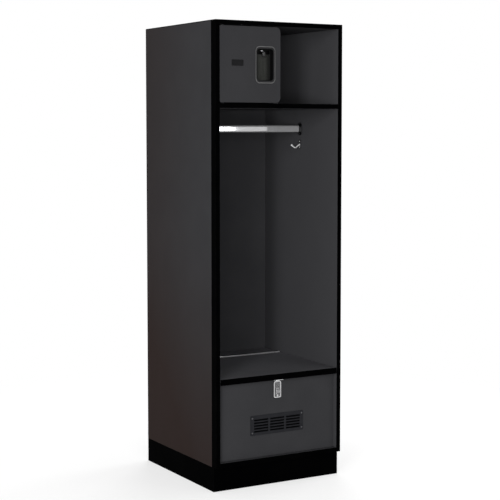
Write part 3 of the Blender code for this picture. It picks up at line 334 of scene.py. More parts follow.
def pressed(name, look, face):
    # Plated steel whose pressed-in field is dull and mottled behind its bright border
    finish = Finish(name)
    pattern = metalPattern
    smear = finish.noise(look["smear"], 3.0, 0.55)
    marks = finish.noise(look["scratch"], 2.0, 0.6, stretch=look["along"])
    mottle = finish.noise(look["mottleSize"], 3.0, 0.6).rise(*look["mottleSpread"])
    bright = finish.mixed(smear.rise(*pattern["dull"]), look["colour"], look["dulled"])
    field = finish.mixed(mottle, look["field"], look["mottle"])
    near, far = look["fieldDepths"]
    behind = finish.parts()[1].rise(face + near, face + far)
    rough = smear * pattern["dullShare"] + marks * pattern["marksShare"]
    rough = rough.between(*look["roughness"]) + behind * look["fieldRough"]
    finish.emboss(marks, look["scratchDepth"])
    colour = finish.mixed(behind, bright, field)
    return finish.finishUp(colour, rough, metallic=look["metallic"])


# Finishes of the plastic and rubber
plasticLook = {
    "colour": (0.0070, 0.0070, 0.0074), "paler": (0.0100, 0.0100, 0.0106),
    "roughness": (0.42, 0.56), "specular": 0.05, "grain": 0.45 * mm, "grainDepth": 0.012 * mm,
    "cloud": 30 * mm, "cloudShare": 0.6, "spread": (0.32, 0.68),
}
rubberLook = {
    **plasticLook, "colour": (0.010, 0.010, 0.010), "paler": (0.020, 0.020, 0.019),
    "roughness": (0.75, 0.92), "specular": 0.2,
}
nylonLook = {
    **plasticLook, "colour": (0.014, 0.014, 0.015), "paler": (0.019, 0.019, 0.020),
    "roughness": (0.35, 0.50), "specular": 0.12,
}
# Pale bead, as a painted highlight along the rim
paintedHighlightBeadLook = {**plasticLook, "colour": (0.088, 0.088, 0.089), "paler": (0.110, 0.110, 0.110)}
# Near black, as painted shade in the top of the pocket round the slot
paintedShadeWindowLook = {**plasticLook, "colour": (0.0010, 0.0010, 0.0011), "paler": (0.0016, 0.0016, 0.0017)}
# Behind holds two depths behind the front face, and the tone beyond the second
plateFinish = {
    **plasticLook, "colour": (0.0052, 0.0052, 0.0056), "paler": (0.0068, 0.0068, 0.0072),
    "behind": (0.15 * mm, 0.4 * mm, 1.35),
}
# Nearly black deeper than its front, as painted shade inside the louvres
ventLook = {
    **plasticLook, "colour": (0.0125, 0.0128, 0.0150), "paler": (0.0165, 0.0168, 0.0190),
    "behind": (0.4 * mm, 3.0 * mm, 0.12),
}


def moulded(name, look, front=0.0):
    finish = Finish(name)
    cloud = finish.noise(look["cloud"], 3.0)
    grain = finish.noise(look["grain"], 2.0)
    share = look["cloudShare"]
    mottle = (cloud * share + grain * (1 - share)).rise(*look["spread"])
    colour = finish.mixed(mottle, look["colour"], look["paler"])
    # Beyond a depth behind the front face the colour takes a set tone: painted shade in the vent,
    # the number plate's own paler field
    if "behind" in look:
        near, far, tone = look["behind"]
        behind = finish.parts()[1].rise(front + near, front + far)
        colour = finish.mixed(behind, colour, toned(look["colour"], tone))
    rough = (cloud * 0.5 + grain * 0.5).between(*look["roughness"])
    finish.emboss(grain, look["grainDepth"])
    return finish.finishUp(colour, rough, specular=look["specular"])


# The pocket's side walls are near black and its floor darkens toward the right wall, both as
# painted shade
cupLook = {
    "rim": (0.018, 0.018, 0.019), "paintedShadeWalls": (0.0030, 0.0030, 0.0032),
    "floor": (0.0200, 0.0208, 0.0190), "streak": (0.0290, 0.0300, 0.0275),
    "roughness": (0.34, 0.50), "insideRough": 0.1, "specular": 0.05,
    "grain": 0.5 * mm, "grainDepth": 0.025 * mm, "rimGrain": 0.25,
    "cloud": 30 * mm, "cloudShare": 0.6,
    "streakWide": 2.2 * mm, "streakStretch": (1.0, 1.0, 0.03), "streaks": (0.35, 0.70),
    "wallDepths": (1.2 * mm, 4.0 * mm), "floorDepths": (24.5 * mm, 25.7 * mm),
    "rightWall": 9 * mm, "shadeWidth": 26 * mm, "shade": 0.75,
}


def cupPlastic(name, look, face, right):
    # A rim like the door, side walls darkened as painted shade, and a streaked floor that darkens
    # toward its right as painted shade
    finish = Finish(name)
    x, y, _ = finish.parts()
    depth = y - face
    inside = depth.rise(*look["wallDepths"])
    onFloor = depth.rise(*look["floorDepths"])
    grain = finish.noise(look["grain"], 2.0)
    cloud = finish.noise(look["cloud"], 3.0)
    streaks = finish.noise(look["streakWide"], 2.0, 0.5, stretch=look["streakStretch"])
    streaked = finish.mixed(streaks.rise(*look["streaks"]), look["floor"], look["streak"])
    rightWall = right - look["rightWall"]
    # Painted shade on the floor toward the right wall
    shade = x.rise(rightWall - look["shadeWidth"], rightWall) * look["shade"]
    streaked = finish.mixed(shade, streaked, look["paintedShadeWalls"])
    # Painted shade: the pocket's side walls are near black
    pocket = finish.mixed(onFloor, look["paintedShadeWalls"], streaked)
    colour = finish.mixed(inside, look["rim"], pocket)
    share = look["cloudShare"]
    rough = (cloud * share + grain * (1 - share)).between(*look["roughness"])
    finish.emboss(grain * inside.between(look["rimGrain"], 1.0), look["grainDepth"])
    return finish.finishUp(colour, rough + inside * look["insideRough"], specular=look["specular"])


chromeAcross = plated("chromeAcross", chromeLook, (0.05, 1.0, 1.0))
chromeRod = plated("chromeRod", rodFinish, (0.05, 1.0, 1.0))
mountSteel = plated("mountSteel", mountLook, (1.0, 1.0, 0.08))
chromeHook = plated("chromeHook", hookLook)
haspSteel = plated("haspSteel", haspLook, haspLook["along"])
hingeChrome = plated("hingeChrome", hingeLook, (0.3, 1.0, 1.0))
zincPlate = plated("zincPlate", zincLook, (1.0, 1.0, 0.3))
triggerSteel = plated("triggerSteel", triggerLook)
darkSteel = plated("darkSteel", darkSteelLook)
blackPlastic = moulded("blackPlastic", plasticLook)
darkNylon = moulded("darkNylon", nylonLook)
darkRubber = moulded("darkRubber", rubberLook)
paintedHighlightBead = moulded("paintedHighlightBead", paintedHighlightBeadLook)
paintedShadeBlack = moulded("paintedShadeBlack", paintedShadeWindowLook)
platePlastic = moulded("platePlastic", plateFinish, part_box("number_plate")[0][1])
ventPlastic = moulded("ventPlastic", ventLook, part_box("vent_grille")[0][1])
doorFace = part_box("security_door_panel")[0][1]
latchCupPlastic = cupPlastic("latchCupPlastic", cupLook, doorFace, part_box("latch_cup")[1][0])
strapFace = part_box("hasp_leaf")[1][1] - haspLook["faceFromLeaf"]
haspPressed = pressed("haspPressed", haspLook, strapFace)

boardLooks = {
    "grey_laminate": ("greyLaminate", laminateLook),
    "black_laminate": ("blackLaminate", blackLook),
    "black_banding": ("blackBanding", blackLook),
    "grey_batten": ("greyBatten", battenLook),
}
plainFinishes = {
    "chrome_plate": chromeAcross, "zinc_plated_steel": zincPlate, "cup_plastic": latchCupPlastic,
    "black_plastic": blackPlastic, "dark_nylon": darkNylon, "dark_rubber": darkRubber,
    "blackened_steel": darkSteel,
}
ownFinishes = {
    "hasp_staple": haspSteel, "hasp_leaf": haspSteel, "vent_grille": ventPlastic,
    "latch_trigger": triggerSteel,
}
slotOf = {part["node"]: part["material_slot"] for part in frame["record"]["subparts"]}
for name, node in nodes.items():
    slotName = slotOf[name]
    if name in ownFinishes:
        dressed = ownFinishes[name]
    elif slotName in boardLooks:
        prefix, look = boardLooks[slotName]
        tone, paintedLightRearTone = boardTones.get(name, 1.0), paintedLightRearTones.get(name)
        side = sideLook if name.startswith("side_panel_") else None
        dressed = laminate(prefix + "_" + name, look, *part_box(name), tone, side, paintedLightRearTone)
    else:
        dressed = plainFinishes[slotName]
    for slot in node.material_slots:
        slot.material = dressed
print("Finishes made:", len(bpy.data.materials))


# Shapes of the pieces that are made here
hair = 0.01 * mm  # keeps points apart where a curve would close up
sharpAngle = 38.0  # edges that turn further than this stay crisp


def corneredLoop(width, height, radii, steps, centre):
    # A rectangle with a radius for each corner, anticlockwise from the top of its right side
    corners = ((1, 1), (-1, 1), (-1, -1), (1, -1))
    points = []
    for quarter, ((sideX, sideZ), radius) in enumerate(zip(corners, radii)):
        middleX = centre[0] + sideX * (width / 2 - radius)
        middleZ = centre[1] + sideZ * (height / 2 - radius)
        for step in range(steps + 1):
            angle = (quarter + step / steps) * pi / 2
            points.append((middleX + radius * cos(angle), middleZ + radius * sin(angle)))
    return points


def roundedLoop(width, height, radius, steps=6, centre=(0.0, 0.0)):
    return corneredLoop(width, height, [radius] * 4, steps, centre)


def stadiumLoop(width, height, grow, steps, centre=(0.0, 0.0)):
    # Half circles at its ends; grow widens it all round, or draws it in below 0
    width, height = width + 2 * grow, height + 2 * grow
    return roundedLoop(width, height, width / 2 - hair, steps, centre)


def ringLoop(radius, sides):
    turns = [2 * pi * side / sides for side in range(sides)]
    return [(radius * cos(turn), radius * sin(turn)) for turn in turns]


def facingFront(points, depth):
    return [Vector((x, depth, z)) for x, z in points]


def facingSide(points, x, middleY, middleZ):
    return [Vector((x, middleY + across, middleZ + up)) for across, up in points]


def addLoft(shape, loops, closed=False, caps=True):
    # Skins loops that have the same number of points
    rows = [[shape.verts.new(point) for point in loop] for loop in loops]
    pairs = list(zip(rows, rows[1:]))
    if closed:
        pairs.append((rows[-1], rows[0]))
    for lower, upper in pairs:
        for index in range(len(lower)):
            after = (index + 1) % len(lower)
            shape.faces.new((lower[index], lower[after], upper[after], upper[index]))
    if caps and not closed:
        shape.faces.new(list(reversed(rows[0])))
        shape.faces.new(rows[-1])


def addWire(shape, route, radii, sides):
    # A round wire along a route, with one radius for each point of the route
    route = [Vector(point) for point in route]
    circle = ringLoop(1.0, sides)
    loops = []
    side = None
    for index, (point, radius) in enumerate(zip(route, radii)):
        before = route[max(index - 1, 0)]
        after = route[min(index + 1, len(route) - 1)]
        ahead = (after - before).normalized()
        if side is None:
            side = ahead.orthogonal().normalized()
        side = (side - ahead * side.dot(ahead)).normalized()
        other = ahead.cross(side)
        loops.append([point + radius * (across * side + up * other) for across, up in circle])
    addLoft(shape, loops)


def standing(place, axis):
    # Moves what is made along Z to a place, turned to an axis
    turn = Vector(axis).to_track_quat("Z", "Y").to_matrix().to_4x4()
    return Matrix.Translation(place) @ turn


def addTurned(shape, profile, place, axis, sides=20):
    # Turns a profile of (radius, height) round an axis, from its rim to its tip
    move = standing(place, axis)
    loops = []
    for radius, height in profile:
        ring = ringLoop(max(radius, hair), sides)
        loops.append([move @ Vector((x, y, height)) for x, y in ring])
    addLoft(shape, loops)


def addBarrel(shape, look, place, start, end):
    # A knuckle: a tube along X with softened ends
    radius, bore, soft = look["knuckle"], look["bore"], look["knuckleSoft"]
    rims = [(start + soft, radius), (end - soft, radius), (end, radius - soft), (end, bore),
            (start, bore), (start, radius - soft)]
    rings = [facingSide(ringLoop(level, look["knuckleSides"]), x, *place) for x, level in rims]
    addLoft(shape, rings, closed=True)


def middleOf(node):
    return [(start + end) / 2 for start, end in zip(*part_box(node))]


def finishedPiece(name, shape, material, replaced=(), body="cabinet"):
    bmesh.ops.recalc_face_normals(shape, faces=shape.faces)
    mesh = bpy.data.meshes.new(name)
    shape.to_mesh(mesh)
    shape.free()
    for face in mesh.polygons:
        face.use_smooth = True
    mesh.set_sharp_from_angle(angle=radians(sharpAngle))
    mesh.materials.append(material)
    piece = bpy.data.objects.new(name, mesh)
    scene.collection.objects.link(piece)
    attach(piece, body)
    if replaced:
        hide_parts(*replaced)


# Screws: pan heads with a cross recess, in groups that share a plate
screwLook = {
    "large": (3.6 * mm, 1.9 * mm), "small": (2.7 * mm, 1.4 * mm),  # radius and height
    "crown": ((1.0, 0.0), (0.97, 0.35), (0.84, 0.68), (0.62, 0.88), (0.36, 0.97), (0.13, 1.0)),
    "recessDepth": 0.55, "armSides": 6,
}


def addScrew(shape, look, size, place, axis):
    # The crown's rings go from rim to middle; its last three dip where they cross the recess
    move = standing(place, axis)
    radius, height = look[size]
    armSides = look["armSides"]
    loops = []
    for ring, (share, rise) in enumerate(look["crown"]):
        loop = []
        for side, (x, y) in enumerate(ringLoop(radius * share, 4 * armSides)):
            offArm = abs((side + armSides // 2) % armSides - armSides // 2)
            inside = (ring == 3 and offArm == 0) or (ring == 4 and offArm <= 1) or ring == 5
            level = height * (rise - look["recessDepth"] * inside)
            loop.append(move @ Vector((x, y, level)))
        loops.append(loop)
    addLoft(shape, loops)


def screwGroup(name, places, axis, size="small", material=zincPlate, replaced=(), body="cabinet"):
    shape = bmesh.new()
    for place in places:
        addScrew(shape, screwLook, size, place, axis)
    finishedPiece(name, shape, material, replaced, body)


def wallPlate(look, loop):
    # A plate with a soft edge; loop takes how far it stands off the wall and how far it is drawn in
    plate, edge = look["plate"], look["edge"]
    back, inward = (edge * share for share in look["edgeBend"])
    return [loop(0, 0), loop(plate - edge, 0), loop(plate - back, inward), loop(plate, edge)]


# Coat rod: a smooth oval tube between two wall flanges with sockets
rodLook = {"wall": 1.2 * mm, "steps": 9, "endRound": 0.5 * mm}
flangeLook = {
    "plate": 3.0 * mm, "edge": 1.0 * mm, "edgeBend": (0.3, 0.3), "socketWall": 2.0 * mm,
    "socketDepth": 10.0 * mm, "fit": 0.3 * mm, "screwShare": 0.80, "fillet": 1.4 * mm,
}


def buildCoatRod():
    low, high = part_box("coat_rod")
    middle = middleOf("coat_rod")[1:]
    depth, height = high[1] - low[1], high[2] - low[2]

    def oval(x, inset):
        outline = stadiumLoop(depth, height, -inset, rodLook["steps"])
        return facingSide(outline, x, *middle)

    soft, wall = rodLook["endRound"], rodLook["wall"]
    shape = bmesh.new()
    addLoft(shape, [
        oval(low[0] + soft, 0), oval(high[0] - soft, 0), oval(high[0], soft), oval(high[0], wall),
        oval(low[0], wall), oval(low[0], soft),
    ], closed=True)
    finishedPiece("coatRod", shape, chromeRod, ["coat_rod"])
    for side, away in (("left", -1), ("right", 1)):
        buildRodFlange(side, away, middle, depth, height)


def buildRodFlange(side, away, middle, depth, height):
    look = flangeLook
    node = "rod_flange_" + side
    low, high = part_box(node)
    wallX = low[0] if away < 0 else high[0]
    wide, tall = high[1] - low[1], high[2] - low[2]
    boreWide, boreTall = depth + 2 * look["fit"], height + 2 * look["fit"]

    def plateLoop(reach, inset):
        outline = stadiumLoop(wide, tall, -inset, rodLook["steps"])
        return facingSide(outline, wallX - away * reach, *middle)

    def socketLoop(reach, grow):
        outline = stadiumLoop(boreWide, boreTall, grow, rodLook["steps"])
        return facingSide(outline, wallX - away * reach, *middle)

    plate, edge, grow, fillet = look["plate"], look["edge"], look["socketWall"], look["fillet"]
    reach = plate / 2 + look["socketDepth"]
    shape = bmesh.new()
    addLoft(shape, wallPlate(look, plateLoop) + [
        socketLoop(plate, grow + fillet), socketLoop(plate + fillet, grow),
        socketLoop(reach - edge / 2, grow), socketLoop(reach, grow - edge / 2),
        socketLoop(reach, edge / 3), socketLoop(reach - edge / 3, 0), socketLoop(0, 0),
    ], closed=True)
    finishedPiece("rodFlange_" + side, shape, mountSteel, [node])
    reachZ = tall / 2 * look["screwShare"]
    places = [(wallX - away * plate, middle[0], middle[1] + way * reachZ) for way in (-1, 1)]
    screwGroup("rodFlangeScrews_" + side, places, (-away, 0, 0))


# Coat hooks: a rounded wall plate, a tapering prong and a ball on its tip
hookShape = {
    "gap": 0.3 * mm, "plateWide": 16 * mm, "plateTall": 38 * mm, "plate": 2.5 * mm,
    "edge": 0.9 * mm, "edgeBend": (0.3, 0.35), "crown": 0.2 * mm, "crownInset": 0.3,
    "abovePlate": 2.0 * mm,
    "reach": 44 * mm, "drop": 13 * mm, "slope": 38, "neck": 8 * mm, "bend": 11 * mm,
    "wire": 3.2 * mm, "tipWire": 2.7 * mm, "ball": 4.8 * mm, "collar": 5.0 * mm, "collarEdge": 0.86,
    "collarLevels": (0.6 * mm, 1.2 * mm, 1.4 * mm), "screwShare": 0.66,
    "steps": 8, "bendSteps": 14, "wireSides": 18, "ballSteps": 12,
}


def arcPoints(centre, radius, start, end, steps):
    turns = [radians(start + (end - start) * step / steps) for step in range(steps + 1)]
    return [(centre[0] + radius * cos(turn), centre[1] + radius * sin(turn)) for turn in turns]


def hookRoute(look):
    # Distance from the wall and height: out, down a slope, round the bend and up to the tip
    tilt, bendRadius = look["slope"], look["bend"]
    slope = radians(tilt)
    root = look["gap"] + look["plate"]
    neck = arcPoints((root, -look["neck"]), look["neck"], 90, 90 - tilt, look["steps"])
    level = bendRadius - look["drop"]
    start = level - bendRadius * cos(slope)
    run = (neck[-1][1] - start) / (sin(slope) / cos(slope))
    middle = (neck[-1][0] + run + bendRadius * sin(slope), level)
    bend = arcPoints(middle, bendRadius, 270 - tilt, 270 + tilt, look["bendSteps"])
    tip = (look["reach"], bend[-1][1] + (look["reach"] - bend[-1][0]) * sin(slope) / cos(slope))
    return [(root - look["plate"] / 2, 0.0)] + neck + bend + [tip]


def buildCoatHook(side, away):
    look = hookShape
    node = "coat_hook_" + side
    low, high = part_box(node)
    wallX = low[0] if away < 0 else high[0]
    _, middleY, plateZ = middleOf(node)
    hookZ = plateZ - look["abovePlate"]
    wide, tall, plate = look["plateWide"], look["plateTall"], look["plate"]

    def plateLoop(reach, inset):
        outline = stadiumLoop(wide, tall, -inset, look["steps"])
        return facingSide(outline, wallX - away * reach, middleY, plateZ)

    shape = bmesh.new()
    crown = plateLoop(plate + look["crown"], wide * look["crownInset"])
    addLoft(shape, wallPlate(look, plateLoop) + [crown])
    finishedPiece("coatHookPlate_" + side, shape, mountSteel, [node])
    shape = bmesh.new()
    places = [(wallX + away * look["gap"] - away * reach, middleY, hookZ + rise)
              for reach, rise in hookRoute(look)]
    last = len(places) - 1
    thinner = look["tipWire"] - look["wire"]
    radii = [look["wire"] + thinner * index / last for index in range(last + 1)]
    addWire(shape, places, radii, look["wireSides"])
    turns = [pi * step / look["ballSteps"] for step in range(look["ballSteps"] + 1)]
    ball = [(look["ball"] * sin(turn), -look["ball"] * cos(turn)) for turn in turns]
    addTurned(shape, ball, places[-1], Vector(places[-1]) - Vector(places[-2]))
    wall, soft, top = look["collarLevels"]
    collar = look["collar"]
    inner = collar * look["collarEdge"]
    profile = [(collar, 0), (collar, wall), (inner, soft), (look["wire"], top)]
    face = wallX - away * plate
    addTurned(shape, profile, (face, middleY, hookZ), (-away, 0, 0))
    finishedPiece("coatHookProng_" + side, shape, chromeHook, [node])
    reachZ = tall / 2 * look["screwShare"]
    places = [(face, middleY, plateZ + way * reachZ) for way in (-1, 1)]
    screwGroup("coatHookScrews_" + side, places, (-away, 0, 0), material=chromeHook)


# Hasp: a pressed strap with a raised border, a lipped slot, a rolled knuckle and a button
strapLook = {
    "wide": 35.5 * mm, "tall": 72.5 * mm, "topRadius": 12 * mm, "footRadius": 6 * mm,
    "leastRadius": 0.5 * mm, "half": 1.0 * mm, "border": 3.6 * mm, "slope": 0.8 * mm,
    "field": 0.90 * mm, "slotWide": 8 * mm, "slotTall": 25 * mm, "slotFromFoot": 27 * mm,
    "lip": 1.3 * mm, "lipTop": 0.4 * mm, "lipSunk": 0.1 * mm, "slotSoft": (0.5 * mm, 0.3 * mm),
    "knuckle": 3.0 * mm, "bore": 1.6 * mm, "knuckleWide": 11.85 * mm, "knuckleSoft": 0.3 * mm,
    "knuckleSides": 20, "neckFromTop": 12 * mm, "neckInset": 0.2 * mm, "button": 4.0 * mm,
    "buttonFoot": 0.3 * mm, "buttonRise": 2.0 * mm, "buttonFromFoot": 8.5 * mm, "buttonSteps": 7,
    "steps": 9, "ease": 0.45 * mm, "easeShares": (1.4, 0.5, 0.4, 1.4),
    "stapleScrews": 17.02 * mm, "staplePlate": 1.5 * mm,
}


def buildHaspStrap():
    look = strapLook
    low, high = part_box("hasp_strap")
    foot, steps = low[2], look["steps"]
    _, axisY, axisZ = middleOf("hasp_pin")
    middle, slotMiddle = (0, foot + look["tall"] / 2), (0, foot + look["slotFromFoot"])
    back, front = axisY + look["half"], axisY - look["half"]
    corners = [look["topRadius"]] * 2 + [look["footRadius"]] * 2

    def edgeLoop(inset, depth):
        # Arched at the top, with small corners at the foot
        radii = [max(corner - inset, look["leastRadius"]) for corner in corners]
        wide, tall = look["wide"] - 2 * inset, look["tall"] - 2 * inset
        return facingFront(corneredLoop(wide, tall, radii, steps, middle), depth)

    def slotLoop(grow, depth):
        outline = stadiumLoop(look["slotWide"], look["slotTall"], grow, steps, slotMiddle)
        return facingFront(outline, depth)

    border, slope, ease, lip = look["border"], look["slope"], look["ease"], look["lip"]
    field, lipTop = front + look["field"], front + look["lipSunk"]
    slotFront, slotBack = look["slotSoft"]
    sideEnd, inward, upward, faceStart = (ease * share for share in look["easeShares"])
    shape = bmesh.new()
    addLoft(shape, [
        edgeLoop(ease, back), edgeLoop(0, back - ease), edgeLoop(0, front + sideEnd),
        edgeLoop(inward, front + upward), edgeLoop(faceStart, front), edgeLoop(border, front),
        edgeLoop(border + slope, field), slotLoop(lip + slope, field), slotLoop(lip, lipTop),
        slotLoop(look["lipTop"], lipTop), slotLoop(0, front + slotFront),
        slotLoop(0, back - slotBack), slotLoop(slotBack, back),
    ], closed=True)
    half, bore = look["knuckleWide"] / 2, look["bore"]
    addBarrel(shape, look, (axisY, axisZ), -half, half)
    neckTop, neckFoot = axisZ - bore, high[2] - look["neckFromTop"]
    neck = roundedLoop(look["knuckleWide"], neckTop - neckFoot, look["knuckleSoft"], 2,
                       (0, (neckTop + neckFoot) / 2))
    neckInset = look["neckInset"]
    addLoft(shape, [facingFront(neck, back - neckInset), facingFront(neck, front + neckInset)])
    button = [(look["button"], 0.0)]
    for step in range(look["buttonSteps"] + 1):
        turn = pi / 2 * step / look["buttonSteps"]
        rise = look["buttonFoot"] + look["buttonRise"] * sin(turn)
        button.append((look["button"] * cos(turn), rise))
    addTurned(shape, button, (0, field, foot + look["buttonFromFoot"]), (0, -1, 0))
    finishedPiece("haspStrap", shape, haspPressed, ["hasp_strap"], "hasp")
    stapleZ = middleOf("hasp_staple")[2]
    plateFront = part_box("hasp_staple")[1][1] - look["staplePlate"]
    places = [(0, plateFront, stapleZ + way * look["stapleScrews"]) for way in (-1, 1)]
    screwGroup("haspStapleScrews", places, (0, -1, 0))


# Seat hinge: a continuous hinge with short rolled knuckles
hingeShape = {
    "pitch": 12.5 * mm, "gap": 0.25 * mm, "knuckle": 2.6 * mm, "bore": 1.4 * mm,
    "knuckleSoft": 0.3 * mm, "knuckleSides": 16, "leaf": 1.2 * mm, "leafDeep": 19.5 * mm,
    "leafRadius": 0.8 * mm, "half": 282 * mm, "offset": 0.3 * mm, "notch": 0.5 * mm,
    "tabLap": 0.4 * mm, "tabInset": 0.05 * mm,
}


def buildSeatHinge():
    look = hingeShape
    _, axisY, axisZ = middleOf("hinge_pin")
    half = look["half"]
    # An odd count, so that both ends are fixed knuckles
    count = round(2 * half / look["pitch"]) // 2 * 2 + 1
    pitch = 2 * half / count
    radius, bore = look["knuckle"], look["bore"]
    leafTop, leafFoot = axisZ - radius - look["notch"], axisZ - look["leafDeep"]
    tabTop, tabFoot = axisZ - (bore + radius) / 2, leafTop - look["tabLap"]
    for name, first, toward, body, node in (
        ("seatHingeFixedLeaf", 0, 1, "cabinet", "hinge_fixed_leaf"),
        ("seatHingeMovingLeaf", 1, -1, "seat_lid", "hinge_moving_leaf"),
    ):
        shape = bmesh.new()
        near = axisY + toward * look["offset"]
        far = axisY + toward * (look["offset"] + look["leaf"])
        inset = toward * look["tabInset"]
        outline = roundedLoop(2 * half, leafTop - leafFoot, look["leafRadius"], 3,
                              (0, (leafTop + leafFoot) / 2))
        addLoft(shape, [facingFront(outline, near), facingFront(outline, far)])
        for index in range(first, count, 2):
            start = -half + index * pitch + look["gap"] / 2
            end = start + pitch - look["gap"]
            addBarrel(shape, look, (axisY, axisZ), start, end)
            tab = [(start, tabFoot), (end, tabFoot), (end, tabTop), (start, tabTop)]
            addLoft(shape, [facingFront(tab, near + inset), facingFront(tab, far - inset)])
        finishedPiece(name, shape, hingeChrome, [node], body)


# Latch cup: a bead on its rim, pale as a painted highlight, shallow ribs on its floor and a dark
# plate round the slot, near black as painted shade
cupShape = {
    "pocketWide": 79 * mm, "pocketTall": 130 * mm, "pocketRadius": 12 * mm, "floor": 2.0 * mm,
}
beadShape = {
    "rimSide": 7.5 * mm, "rimEnd": 11 * mm, "share": 0.78, "half": 1.25 * mm, "rise": 0.55 * mm,
    "sunk": 0.1 * mm, "under": 0.4 * mm, "steps": 8, "cornerSteps": 10,
}
ribShape = {
    "count": 9, "half": 0.9 * mm, "fromTop": 25 * mm, "fromFoot": 9 * mm, "margin": 10 * mm,
    "steps": 4,
    # how far each loop grows outward, and how far it stands off the floor
    "loops": ((0.0, -0.2 * mm), (0.0, 0.0), (-0.25 * mm, 0.385 * mm), (-0.6 * mm, 0.55 * mm)),
}
windowShape = {
    "margin": 1.7 * mm, "tall": 20.0 * mm, "radius": 10 * mm, "slotSide": 0.7 * mm,
    "slotAbove": 6.6 * mm, "slotBelow": 3.2 * mm, "slotRadius": 0.6 * mm,
    "loops": ((0.0, -0.2 * mm), (0.0, 0.5 * mm), (-0.4 * mm, 0.8 * mm)),
    "slotDepths": (0.8 * mm, -0.2 * mm),
}


def buildRimBead(middle, rimFace):
    look, cup = beadShape, cupShape
    loops = []
    for step in range(look["steps"] + 1):
        angle = pi * step / look["steps"]
        share = look["share"] + look["half"] * cos(angle) / look["rimSide"]
        out = look["rimSide"] * share
        wide, tall = cup["pocketWide"] + 2 * out, cup["pocketTall"] + 2 * look["rimEnd"] * share
        outline = roundedLoop(wide, tall, cup["pocketRadius"] + out, look["cornerSteps"], middle)
        loops.append(facingFront(outline, rimFace + look["sunk"] - look["rise"] * sin(angle)))
    shape = bmesh.new()
    addLoft(shape, loops, caps=False)
    first, last = loops[0], loops[-1]
    under = Vector((0, look["under"], 0))
    sunk = [[point + under for point in loop] for loop in (last, first)]
    addLoft(shape, [last, *sunk, first], caps=False)
    bmesh.ops.remove_doubles(shape, verts=shape.verts, dist=hair / 10)
    # The bead's pale finish is a painted highlight
    finishedPiece("cupRimBead", shape, paintedHighlightBead, (), "security_door")


def buildFloorRibs(middle, floorFace):
    look, cup = ribShape, cupShape
    span = cup["pocketWide"] - 2 * look["margin"]
    top = middle[1] + cup["pocketTall"] / 2 - look["fromTop"]
    foot = middle[1] - cup["pocketTall"] / 2 + look["fromFoot"]
    shape = bmesh.new()
    for index in range(look["count"]):
        x = middle[0] + span * (index / (look["count"] - 1) - 0.5)
        loops = []
        for grow, rise in look["loops"]:
            centre = (x, (top + foot) / 2)
            outline = stadiumLoop(2 * look["half"], top - foot, grow, look["steps"], centre)
            loops.append(facingFront(outline, floorFace - rise))
        addLoft(shape, loops)
    finishedPiece("cupFloorRibs", shape, latchCupPlastic, (), "security_door")


def buildLatchShadePlate(middle, floorFace):
    look, cup = windowShape, cupShape
    wide, tall = cup["pocketWide"] - 2 * look["margin"], look["tall"]
    plateMiddle = (middle[0], middle[1] + cup["pocketTall"] / 2 - look["margin"] - tall / 2)
    low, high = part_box("latch_trigger")
    slotTop, slotFoot = high[2] + look["slotAbove"], high[2] - look["slotBelow"]
    slotWide = high[0] - low[0] + 2 * look["slotSide"]
    slot = roundedLoop(slotWide, slotTop - slotFoot, look["slotRadius"],
                       centre=(middle[0], (slotTop + slotFoot) / 2))
    loops = []
    for grow, rise in look["loops"]:
        radius = look["radius"] + grow
        outline = roundedLoop(wide + 2 * grow, tall + 2 * grow, radius, centre=plateMiddle)
        loops.append(facingFront(outline, floorFace - rise))
    loops += [facingFront(slot, floorFace - rise) for rise in look["slotDepths"]]
    shape = bmesh.new()
    addLoft(shape, loops, closed=True)
    # The plate's near-black finish is painted shade
    finishedPiece("cupLatchShadePlate", shape, paintedShadeBlack, (), "security_door")


def buildCupDetail():
    low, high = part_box("latch_cup")
    middle = middleOf("latch_cup")[::2]
    floorFace = high[1] - cupShape["floor"]
    buildRimBead(middle, low[1])
    buildFloorRibs(middle, floorFace)
    buildLatchShadePlate(middle, floorFace)


# Number plate: left bare, with a raised border round a recessed field
plateShape = {
    "border": 2.2 * mm, "recess": 0.45 * mm, "edge": 0.4 * mm, "edgeBend": (0.3, 0.35),
    "slope": 0.3 * mm, "radius": 2.0 * mm, "leastRadius": 0.6 * mm, "steps": 5,
}


def buildNumberPlate():
    look = plateShape
    low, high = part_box("number_plate")
    middle = middleOf("number_plate")[::2]
    wide, tall = high[0] - low[0], high[2] - low[2]

    def plateLoop(inset, depth):
        radius = max(look["radius"] - inset, look["leastRadius"])
        outline = roundedLoop(wide - 2 * inset, tall - 2 * inset, radius, look["steps"], middle)
        return facingFront(outline, depth)

    edge, border, front = look["edge"], look["border"], low[1]
    back, inward = (edge * share for share in look["edgeBend"])
    shape = bmesh.new()
    addLoft(shape, [
        plateLoop(0, high[1]), plateLoop(0, front + edge), plateLoop(inward, front + back),
        plateLoop(edge, front), plateLoop(border, front),
        plateLoop(border + look["slope"], front + look["recess"]),
    ])
    finishedPiece("numberPlate", shape, platePlastic, ["number_plate"], "security_door")


# Where the other screws stand
otherScrews = {
    "ventFromSide": 7.9 * mm, "ventFromEnd": 11 * mm, "guideFromEnd": 5 * mm,
    "guidePlate": 1.2 * mm, "keeperPlate": 1.5 * mm, "keeperShares": (0.45, 0.82),
    "backFromSide": 12 * mm, "backFromEnd": 14 * mm, "backGaps": 3, "backShares": (0.25, 0.5, 0.75),
}


